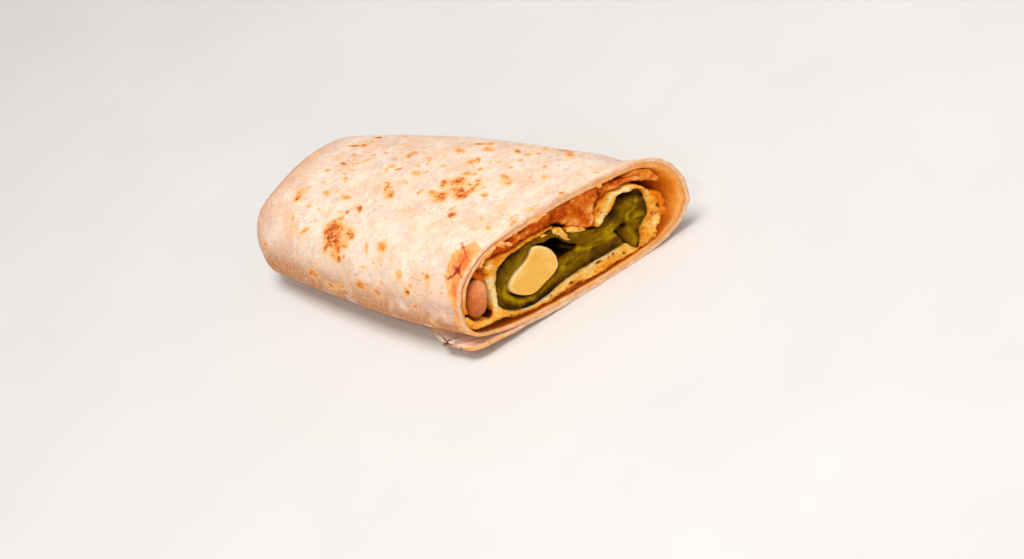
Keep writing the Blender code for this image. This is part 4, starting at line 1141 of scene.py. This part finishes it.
CREAMY = [
    ([(-26.2, 7), (-27.4, 3), (-28.2, -1), (-29, -4.4)], 0.9, 0.40), ([(-25.2, 11), (-24.4, 9.8)], 1, 0.18),
    (HOOK, 0.8, 0.20), ([(10.6, 3.4), (12.4, 4.6), (14.6, 6.4), (16.4, 8)], 1.1, 0.40),
    ([(16.5, 8.6), (20, 8.6), (23.4, 7.8)], 0.7, 0.32),
    ([(-26, -7.8), (-21, -9.8), (-12, -10.2), (-3, -9.4), (6, -9.6), (12, -9.4)], 1.1, 0.28),
    ([(25.9, 4.8), (26.8, 2.8)], 0.8, 0.22), ([(22.6, -8.8), (25.4, -7.4)], 1.2, 0.14),
]
# darker along the coat's edges, where it meets the other pieces and the tortilla: painted shade with some
# real browning; the strongest line is the painted shadow in the gap beside the bean
BATTER_BROWN_AND_SHADE = [
    ([(-22.6, 11), (-17, 10.8), (-10, 10.9), (-3, 10.6)], 0.9, 0.22),
    ([(-36, -6.6), (-31, -7.9), (-26.5, -9.4), (-20, -11.2), (-12, -12), (-3, -12.3)], 0.7, 0.42),
    ([(2, -13.2), (10, -13.4), (18, -13.6), (22, -12.6)], 0.6, 0.36),
    ([(11.4, 6.8), (12.4, 8.6), (15.8, 9.4)], 0.6, 0.30), ([(24.6, 6), (25.9, 3)], 0.5, 0.30),
    ([(28.4, -5.4), (30, -3)], 1, 0.30), ([(25.2, -3), (24, -5.4)], 0.6, 0.26),
    ([(-29.1, -0.4), (-29.8, -2.2), (-31, -4), (-32.2, -4.7)], 0.36, 1),
    ([(-26.9, 9.4), (-26.6, 8.2)], 0.8, 0.30), ([(20.6, -7.4), (19.2, -10.4)], 0.5, 0.20),
]
ORANGE = [
    ([(-23, 11.6), (-17, 11), (-10, 10.9), (-3.6, 10.6)], 0.9, 1),
    ([(27.4, 3.2), (29, 0.6), (29.2, -2.6)], 1.3, 1.1), ([(24.8, -2.4), (27.2, -4), (28.6, -5.6)], 1.3, 1),
    ([(26, 5.6), (27.2, 3.6)], 0.8, 0.6), ([(23.2, -6), (25.4, -5.4)], 0.7, 0.6),
    ([(11.2, 7.6), (13.4, 8.6)], 0.8, 0.7), ([(10.4, 4.4), (11.2, 6.2)], 0.6, 0.4),
    ([(-37.6, -1.8), (-38.2, -4.2)], 0.6, 0.5), ([(-27.2, 8), (-26.4, 10.6)], 0.7, 0.4),
    ([(0, -12.8), (14, -13.4), (21, -13.2)], 0.5, 0.7), ([(27, -8), (29.6, -5.6)], 0.6, 0.7),
]


def batter_relief(s, z, deep):
    p = flat_point(s, z)
    fluffy = step(s, 15.0, 24.0)
    return ((0.35 + 0.75 * fluffy) * noise(p, 2.6, 41) + (0.2 + 0.45 * fluffy) * noise(p, 1.2, 42)
            + 0.14 * noise(p, 0.6, 43) - 1.3 * marks(s, z, PORES) + 0.7 * fluffy
            + 0.9 * stroke(s, z, HOOK, 1.1))


def batter_paint(s, z, behind, deep):
    p = flat_point(s, z, behind)
    tone = 0.62 + 0.20 * noise(p, 3.0, 44) + 0.14 * noise(p, 1.2, 45)
    tone = tone + strokes(s, z, CREAMY) - strokes(s, z, BATTER_BROWN_AND_SHADE)
    orange = strokes(s, z, ORANGE) * np.clip(0.7 + 1.3 * noise(p, 1.8, 46), 0.0, 1.3)
    # darker behind the face: painted shade; the pores carry painted shade
    return {"tone": np.clip(tone - 0.3 * step(behind, 1.5, 6.0), 0.0, 1.0), "pore_shade": marks(s, z, PORES),
            "orange": orange}


SEAM = [(1.5, 0.0), (3.4, -1.7), (6.2, -2.6), (8.4, -3.4), (10.4, -2.9), (13.2, -3.0)]
# painted highlights on the wet flesh, and painted light on the walls round the cheese
PEPPER_HIGHLIGHTS = [
    ([(-6.5, -3.6), (-4, -1.9), (-2, -2.4)], 0.8, 0.22),
    ([(0.8, -1.2), (3, -2.2), (6.4, -2.2), (8.6, -3), (12.8, -2.6)], 1.1, 0.34),
    ([(2, 4.2), (5.4, 1.2), (9, -0.6), (12.6, -0.8)], 1.5, 0.16),
    ([(-23.9, 1.6), (-25, -1), (-23.6, -4.6), (-21, -6.6), (-17.6, -7.4)], 1, 0.28),
    ([(-22, 4), (-17, 6.4), (-13.6, 8)], 0.9, 0.18),
    ([(-15, -7), (-10, -5.6), (-6, -4.2), (0, -3.6)], 1, 0.12),
    ([(18, -1.8), (18.8, 0.2), (20.6, -0.2), (21.4, 0.6)], 0.7, 0.26), ([(22.6, 2.6), (23, 4)], 0.6, 0.26),
    ([(19, -3.6), (20.6, -2.2), (22.8, -2.8)], 0.9, 0.16),
    ([(16.9, -4.4), (17.2, -7.4), (16.9, -10.4)], 0.8, 0.18), ([(17, 1.4), (20, 3.4)], 1.2, 0.10),
    ([(19.6, 4.8), (21.6, 2), (21.2, -1.6)], 2.6, 0.10), ([(15.8, -6), (16.8, -9)], 1.2, 0.08),
    ([(-2.4, 8.6), (-1.6, 6)], 0.8, 0.30),
]
# painted shade under the batter's fringe, in the notch and the fold, and along the edges
PEPPER_SHADE = [
    ([(-26, 4.6), (-23.6, 7.4), (-20.6, 9.6), (-15.6, 9.8)], 1, 0.26),
    ([(-26.8, -4.4), (-23, -8.4), (-17, -9.4), (-9, -8.2), (0, -7.6), (10, -7.6)], 1.4, 0.22),
    ([(17.8, 5.4), (19.4, 6.4), (22.6, 5.8), (24.2, 4)], 1.2, 0.32),
    ([(8.4, 1.2), (12, 1.4), (15.6, 3.4)], 1, 0.20), ([(19, -6.6), (18.6, -9.6), (17.6, -12)], 0.7, 0.28),
    ([(24.6, 1), (24.2, -2.6), (21.4, -4.8)], 0.8, 0.16), ([(-22, -8.6), (-12, -8.2)], 1.4, 0.12),
    ([(13.6, -3.4), (14.4, -2.6), (16.2, -2.6)], 0.8, 0.4),
]
FOLDS = [
    [(17, -2.4), (17.8, -0.6), (18.4, 1.2)], [(19.4, -1.6), (21, 0), (22.8, -0.6)], [(22, 2), (22.8, 4.4)],
    [(18.6, -4), (20.4, -3.4), (22.4, -3.9)], [(-6, -3), (-3, -3.8), (0.6, -3.4)],
    [(3.4, 2.6), (7, 0.6), (11, 0.6)],
]


def pepper_relief(s, z, deep):
    p = flat_point(s, z)
    groove, lip = stroke(s, z, SEAM, 0.5), stroke(s, z + 0.9, SEAM, 0.7)
    tip = step(-z, 2.5, 9.0) * step(s, 14.0, 15.5)
    fold = sum(stroke(s, z, line, 0.45) for line in FOLDS)
    return (0.6 * noise(p, 4.2, 51) + 0.3 * noise(p, 1.8, 52) - 1.0 * groove + 0.6 * lip + 0.5 * tip
            - 0.7 * fold * (1.0 + 0.4 * noise(p, 1.5, 54)))


def pepper_paint(s, z, behind, deep):
    p = flat_point(s, z, behind)
    # painted shade on the wall inside the hollow, and darker further behind the face
    cavity_shade = step(z, -2.0, 0.5) * step(s, -10.0, -6.0) * step(-s, -4.0, -1.5)
    tone = 0.44 + 0.08 * noise(p, 2.6, 53)
    tone = tone + strokes(s, z, PEPPER_HIGHLIGHTS) - strokes(s, z, PEPPER_SHADE)
    tone = tone - 0.16 * step(behind, 3.0, 12.0) - 0.8 * cavity_shade * step(behind, 0.7, 2.0)
    return {"tone": np.clip(tone, 0.0, 1.0)}


# painted highlights on the cheese, and painted shade along its edges
CHEESE_HIGHLIGHTS = [(-8.6, 5, 1, 3.6, 25, 0.20), (-9.5, -1, 3, 2, 0, 0.10), (-18, 2.6, 3, 0.8, 20, 0.14)]
CHEESE_SHADE = [(-12.6, 5.6, 2.4, 1.4, 30, 0.18), (-14, -5.4, 6, 0.8, -5, 0.12)]


def cheese_relief(s, z, deep):
    p = flat_point(s, z)
    return 0.14 * noise(p, 6.0, 61) + 0.04 * noise(p, 1.4, 62)


def cheese_paint(s, z, behind, deep):
    p = flat_point(s, z, behind)
    # lighter at the rounded edge of the face: painted highlight; darker behind the face: painted shade
    tone = 0.62 + 0.10 * noise(p, 4.0, 63) + 0.26 * np.exp(-(deep / 0.7) ** 2) * step(-behind, -3.0, -0.5)
    tone += marks(s, z, CHEESE_HIGHLIGHTS) - marks(s, z, CHEESE_SHADE)
    return {"tone": np.clip(tone - 0.3 * step(behind, 2.0, 10.0), 0.0, 1.0)}


def batter_outline(pepper, space):
    """The coat: its own outer side, then back along the pepper it covers."""
    def walk(first, last):
        a, b = [int(np.linalg.norm(pepper - np.array(spot), axis=1).argmin()) for spot in (first, last)]
        return pepper[[(a + k) % len(pepper) for k in range((b - a) % len(pepper) + 1)]]

    down = walk(BATTER[-1], FOLD_MOUTH[0])
    back = walk(FOLD_MOUTH[1], BATTER[0])
    outline = np.vstack([smooth(BATTER, False), down, back])
    outline = settle(outline, pepper, TOUCH)
    return settle(outline, space, TOUCH, within=True)


def pinto_bean(material):
    """A smooth kidney-shaped bean lying in the plane of the cut, with a crease on its inner side."""
    rows, n = 38, 56
    lat = np.linspace(0.0, math.pi, rows + 2)[1:-1, None]
    lon = np.linspace(0.0, 2 * math.pi, n, endpoint=False)[None, :]
    unit = np.stack([np.sin(lat) * np.sin(lon), np.sin(lat) * np.cos(lon),
                     np.cos(lat) * np.ones_like(lon)], -1)
    unit = np.vstack([unit.reshape(-1, 3), [[0, 0, 1.0], [0, 0, -1.0]]])
    deep, wide, far = unit.T
    dent = 0.7 * np.clip(-wide, 0.0, 1.0) * np.exp(-(far / 0.42) ** 2)
    along = np.array([math.sin(CUT_SLANT), math.cos(CUT_SLANT), 0.0])
    up = np.array([math.sin(CUT_LEAN), 0.0, 1.0])
    long_way = along * math.cos(BEAN_TILT) + up * math.sin(BEAN_TILT)
    short_way = up * math.cos(BEAN_TILT) - along * math.sin(BEAN_TILT)
    y, z = BEAN_CENTRE[0] * ALONG, BEAN_CENTRE[1]
    centre = np.array([cut_x(y, z) - BEAN_BEHIND, y, z])
    verts = (centre + long_way * (far * BEAN_LONG)[:, None]
             + short_way * (wide * BEAN_SHORT * (1.0 - 0.12 * far) + dent)[:, None]
             + np.array([1.0, 0.0, 0.0]) * (deep * BEAN_DEEP)[:, None])
    verts += unit * (0.10 * noise(verts, 3.0, 71) + 0.03 * noise(verts, 0.9, 72))[:, None]
    index = np.arange(rows * n).reshape(rows, n)
    faces = tube(index)
    first, last = index[0].tolist(), index[-1].tolist()
    for i in range(n):
        k = (i + 1) % n
        faces += [(first[i], first[k], rows * n), (last[k], last[i], rows * n + 1)]
    # lighter towards the upper end and the inner side, partly the bean's own colour and partly painted
    # light; darker on its back, painted shade
    tone = 0.52 + 0.24 * far + 0.18 * np.clip(-wide, -1.0, 0.4) - 0.2 * step(-deep, 0.0, 0.8)
    return made("whole_pinto_bean", verts, faces, material, {"tone": tone})


def drawn_in(points, most=DRAWN_IN):
    """The left ends of the fillings sit a little further in than their outlines."""
    p = np.array(points, float)
    p[:, 0] += most * step(-p[:, 0], 8.0, 24.0) * (1.0 - step(-p[:, 0], 28.0, 36.0))
    return p


def band(line, widths):
    """Closed outline round an open line whose width changes along it."""
    path = smooth(line, False, 10)
    wide = np.interp(np.linspace(0, 1, len(path)), np.linspace(0, 1, len(widths)), widths)[:, None]
    side = leftwards(np.gradient(path, axis=0)) * wide / 2
    return np.vstack([path + side, (path - side)[::-1]])


# ---- small things at the cut: line, widths along it, how far behind the cut ----
SCRAPS = [
    ([(-27.4, 12.4), (-25.2, 14.2), (-22.6, 14.9), (-20.4, 15.7)], (0.5, 0.9, 0.9, 0.4), -0.4),
    ([(-20.6, 16.2), (-18.6, 15.7), (-17.2, 14.4), (-16.3, 13.9)], (0.9, 1.1, 1.1, 0.5), -1.3),
    ([(-19.8, 15.9), (-19, 15), (-18.8, 14.3)], (0.8, 0.9, 0.3), -0.9),
    ([(-15.4, 16.3), (-13, 16.1), (-11.4, 16.2)], (0.5, 1, 0.5), -0.3),
    ([(-9.6, 16.5), (-7.4, 16.2), (-5.6, 16), (-3, 16.3)], (0.6, 1, 1.1, 0.5), -0.5),
    ([(9.6, 16.2), (9.9, 15.4), (9.7, 15)], (0.7, 0.6, 0.3), -0.4),
    ([(14.2, 15.4), (14.6, 14.6), (14.2, 14)], (1, 1.3, 0.5), -1.2),
    ([(15.6, 15.2), (17.8, 14.2), (19.4, 13.6)], (0.5, 0.6, 0.3), -0.2),
    ([(21.5, 11.2), (26.2, 10), (29.8, 7.6), (32.4, 4)], (0.8, 3.4, 3.8, 1.2), 1.2),
]
BITS = [
    ([(-3.6, 9.2), (-2.4, 8.4), (-1.6, 6.8), (-1.3, 5), (-0.6, 3.8)], (1.2, 2.4, 1.7, 1, 0.5), -0.7),
    ([(0.2, 7), (1.8, 6), (3.6, 4.8), (5, 4)], (1, 1.9, 1.5, 0.5), -0.5),
    ([(-8.4, 8.9), (-6.6, 9.2), (-4.6, 9)], (0.7, 1.5, 0.8), -0.3),
    ([(-25.9, 11.3), (-24.9, 10.4), (-24.5, 9.4)], (1.3, 1.9, 0.9), -0.4),
]
# dark red strips sunk in the gaps below the batter and outside the hook: sauce, and a dark sheet standing
# for the shade in those gaps
SAUCE_AND_SHADE = [
    ([(-10, -12.9), (-6, -13.1), (-2, -12.9), (2, -13.7), (7, -14), (13, -14.1), (19.5, -14.2)],
     (0.4, 1.5, 1.1, 0.6, 0.6, 0.5, 0.3), 0.9),
    ([(-39.6, -1.6), (-39.4, -4), (-38, -6.2), (-35, -7.7), (-30, -8.7)], (0.4, 0.8, 0.9, 0.8, 0.4), 2.4),
]


def small_piece(name, line, widths, setback, material, paint, seed, spacing=0.22, depth=3.0):
    """A ragged strip of something, with its face near the cut."""
    outline = ragged(even(band(line, widths), spacing), 0.9, 0.26, seed)

    def relief(s, z, deep):
        return 0.35 * noise(flat_point(s, z), 1.0, seed)

    return faced_solid(name, outline, material, paint, relief, setback, spacing=spacing, edge_round=0.35,
                       depth=depth)


def small_pieces(name, table, material, paint, seed, slot, **more):
    return [(small_piece(f"{name}_{number}", *row, material, paint, seed + number, **more), None, slot)
            for number, row in enumerate(table)]


def scrap_paint(s, z, behind, deep):
    p = flat_point(s, z, behind)
    # darker a little behind the face: painted shade
    soak_and_shading = np.clip(0.26 + 0.16 * noise(p, 1.2, 81) + 0.4 * step(behind, 0.4, 2.0), 0.0, 1.0)
    plain = dict.fromkeys(("toast", "stain", "crack", "edge", "griddle_and_shade"), np.zeros_like(s))
    return {**plain, "soak_and_shading": soak_and_shading}


def bit_paint(s, z, behind, deep):
    # darker behind the face: painted shade
    tone = 0.70 + 0.35 * noise(flat_point(s, z, behind), 1.3, 82) - 0.3 * step(behind, 0.2, 1.5)
    return {"tone": np.clip(tone, 0.0, 1.0), "pore_shade": np.zeros_like(s), "orange": np.zeros_like(s)}


def fillings():
    """All the pieces that show at the cut, as (piece, node, slot)."""
    space = room()
    pepper_curve = drawn_in(smooth(PEPPER, True))
    batter = batter_outline(pepper_curve, space)
    cavity = drawn_in(smooth(CAVITY, True))
    cheese = settle(drawn_in(smooth(CHEESE, True), 0.8), cavity, TOUCH * 2, within=True)
    beans = settle(smooth(BEANS, True), pepper_curve, TOUCH)
    beans = settle(beans, batter, TOUCH)
    beans = settle(beans, space, TOUCH, within=True)

    # the face of the pepper dips under the batter's fringe
    shrunk = [q for q in PEPPER if not (14.9 < q[0] < 20.3 and q[1] > 4.0)]
    place = shrunk.index((12.0, 2.3)) + 1
    pepper_face = drawn_in(smooth(shrunk[:place] + HOLLOW + shrunk[place:], True))
    batter_face = even(batter, 0.3)
    batter_face = ragged(batter_face, 2.0, 0.22 + 0.50 * step(batter_face[:, 0], 24.0, 27.0), 47)
    beans_face = ragged(even(beans, 0.3), 1.6, 0.20, 48)

    batter_shade = batter_material()
    pieces = [
        faced_solid("pepper_flesh", pepper_face, pepper_material(), pepper_paint, pepper_relief, -0.1,
                    holes=[cavity], edge_round=0.7),
        faced_solid("cheese_stick", cheese, cheese_material(), cheese_paint, cheese_relief, -0.35,
                    start=CAVITY_START, edge_round=0.6),
        faced_solid("egg_batter_coat", batter_face, batter_shade, batter_paint, batter_relief, 0.35,
                    edge_round=0.5),
        faced_solid("refried_beans_layer", beans_face, beans_material(), beans_paint, beans_relief, 0.6,
                    edge_round=0.6),
        pinto_bean(bean_material()),
    ]
    nodes = ("pepper", "cheese", "egg_batter", "refried_beans", "pinto_bean")
    return ([(piece, node, node) for piece, node in zip(pieces, nodes)]
            + small_pieces("batter_bit", BITS, batter_shade, bit_paint, 90, "egg_batter")
            + small_pieces("sauce_and_shade_film", SAUCE_AND_SHADE, sauce_and_shade_material(), bit_paint, 110, "refried_beans",
                           depth=7.0))


# ---- stage ----
def plain_floor():
    n = 40
    side = np.linspace(-3.0, 3.0, n)
    u, v = np.meshgrid(side, side)
    mesh = bpy.data.meshes.new("floor")
    index = np.arange(n * n).reshape(n, n)
    quads = np.stack([index[:-1, :-1], index[:-1, 1:], index[1:, 1:], index[1:, :-1]], -1).reshape(-1, 4)
    verts = np.stack([u.ravel(), v.ravel(), np.full(n * n, -FLOOR_GAP)], 1)
    mesh.from_pydata(verts.tolist(), [], quads.tolist())
    floor = bpy.data.objects.new("floor", mesh)
    bpy.context.scene.collection.objects.link(floor)
    g = Graph("floor_pale")
    soft = g.noise(60.0, 2.0, 0.5)
    shade = g.ramp(soft, [(0.3, (223.837, 222.452, 220.343)), (0.7, (227.904, 226.566, 224.526))])
    mesh.materials.append(g.finish(shade, 0.75, g.bump(soft, 0.02), gloss=0.2))
    return floor


def area_light(name, place, aim, size, power, shade):
    data = bpy.data.lights.new(name, "AREA")
    data.shape = "DISK"
    data.size = size
    data.energy = power
    data.color = shade
    lamp = bpy.data.objects.new(name, data)
    lamp.location = place
    lamp.rotation_mode = "QUATERNION"
    lamp.rotation_quaternion = (Vector(aim) - Vector(place)).to_track_quat("-Z", "Y")
    bpy.context.scene.collection.objects.link(lamp)


CAMERA_AZIMUTH = math.radians(-32.56)
CAMERA_HEIGHT = math.radians(35.14)
CAMERA_ROLL = math.radians(-29.39)
CAMERA_PLACE = (550.58, -295.21, 364.27)    # from the closed end's middle, in millimetres
CAMERA_LENS = 75.0


def camera():
    data = bpy.data.cameras.new("camera")
    data.lens = CAMERA_LENS
    data.sensor_width = 36.0
    data.clip_start, data.clip_end = 0.01, 20.0
    eye = bpy.data.objects.new("camera", data)
    flat = math.cos(CAMERA_HEIGHT)
    east, north = math.cos(CAMERA_AZIMUTH), math.sin(CAMERA_AZIMUTH)
    ahead = Vector((-flat * east, -flat * north, -math.sin(CAMERA_HEIGHT)))
    level = ahead.cross(Vector((0.0, 0.0, 1.0))).normalized()
    above = level.cross(ahead)
    right = level * math.cos(CAMERA_ROLL) + above * math.sin(CAMERA_ROLL)
    up = above * math.cos(CAMERA_ROLL) - level * math.sin(CAMERA_ROLL)
    turned = Matrix((right, up, -ahead)).transposed()
    eye.matrix_world = Matrix.Translation(Vector((np.array(CAMERA_PLACE) + SHIFT) * MM)) @ turned.to_4x4()
    bpy.context.scene.collection.objects.link(eye)
    bpy.context.scene.camera = eye


def studio():
    world = bpy.data.worlds.new("studio")
    world.use_nodes = True
    world.node_tree.nodes["Background"].inputs[0].default_value = (1.0, 0.985, 0.965, 1.0)
    world.node_tree.nodes["Background"].inputs[1].default_value = 0.36
    bpy.context.scene.world = world
    area_light("key", (0.15, -0.10, 1.05), (0.0, 0.0, 0.02), 0.55, 8.7, (1.0, 0.975, 0.95))
    area_light("fill", (0.85, -0.75, 0.45), (0.03, 0.0, 0.02), 0.8, 3.4, (1.0, 0.97, 0.93))
    area_light("glint", (0.40, -0.45, 0.70), (0.04, 0.0, 0.02), 0.05, 0.6, (1.0, 0.98, 0.95))
    view = bpy.context.scene.view_settings
    view.view_transform = "Standard"
    view.look = "None"
    view.exposure = 0.0


camera()
studio()
plain_floor()

skin = skin_material()
pieces = [(tortilla(skin), "tortilla", "tortilla"), (folded_end(skin), None, "tortilla")]
pieces += small_pieces("tortilla_scrap", SCRAPS, skin, scrap_paint, 60, "tortilla")
pieces += fillings()
for piece, node, slot in pieces:
    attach(piece, "root")
    if node:
        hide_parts(node)
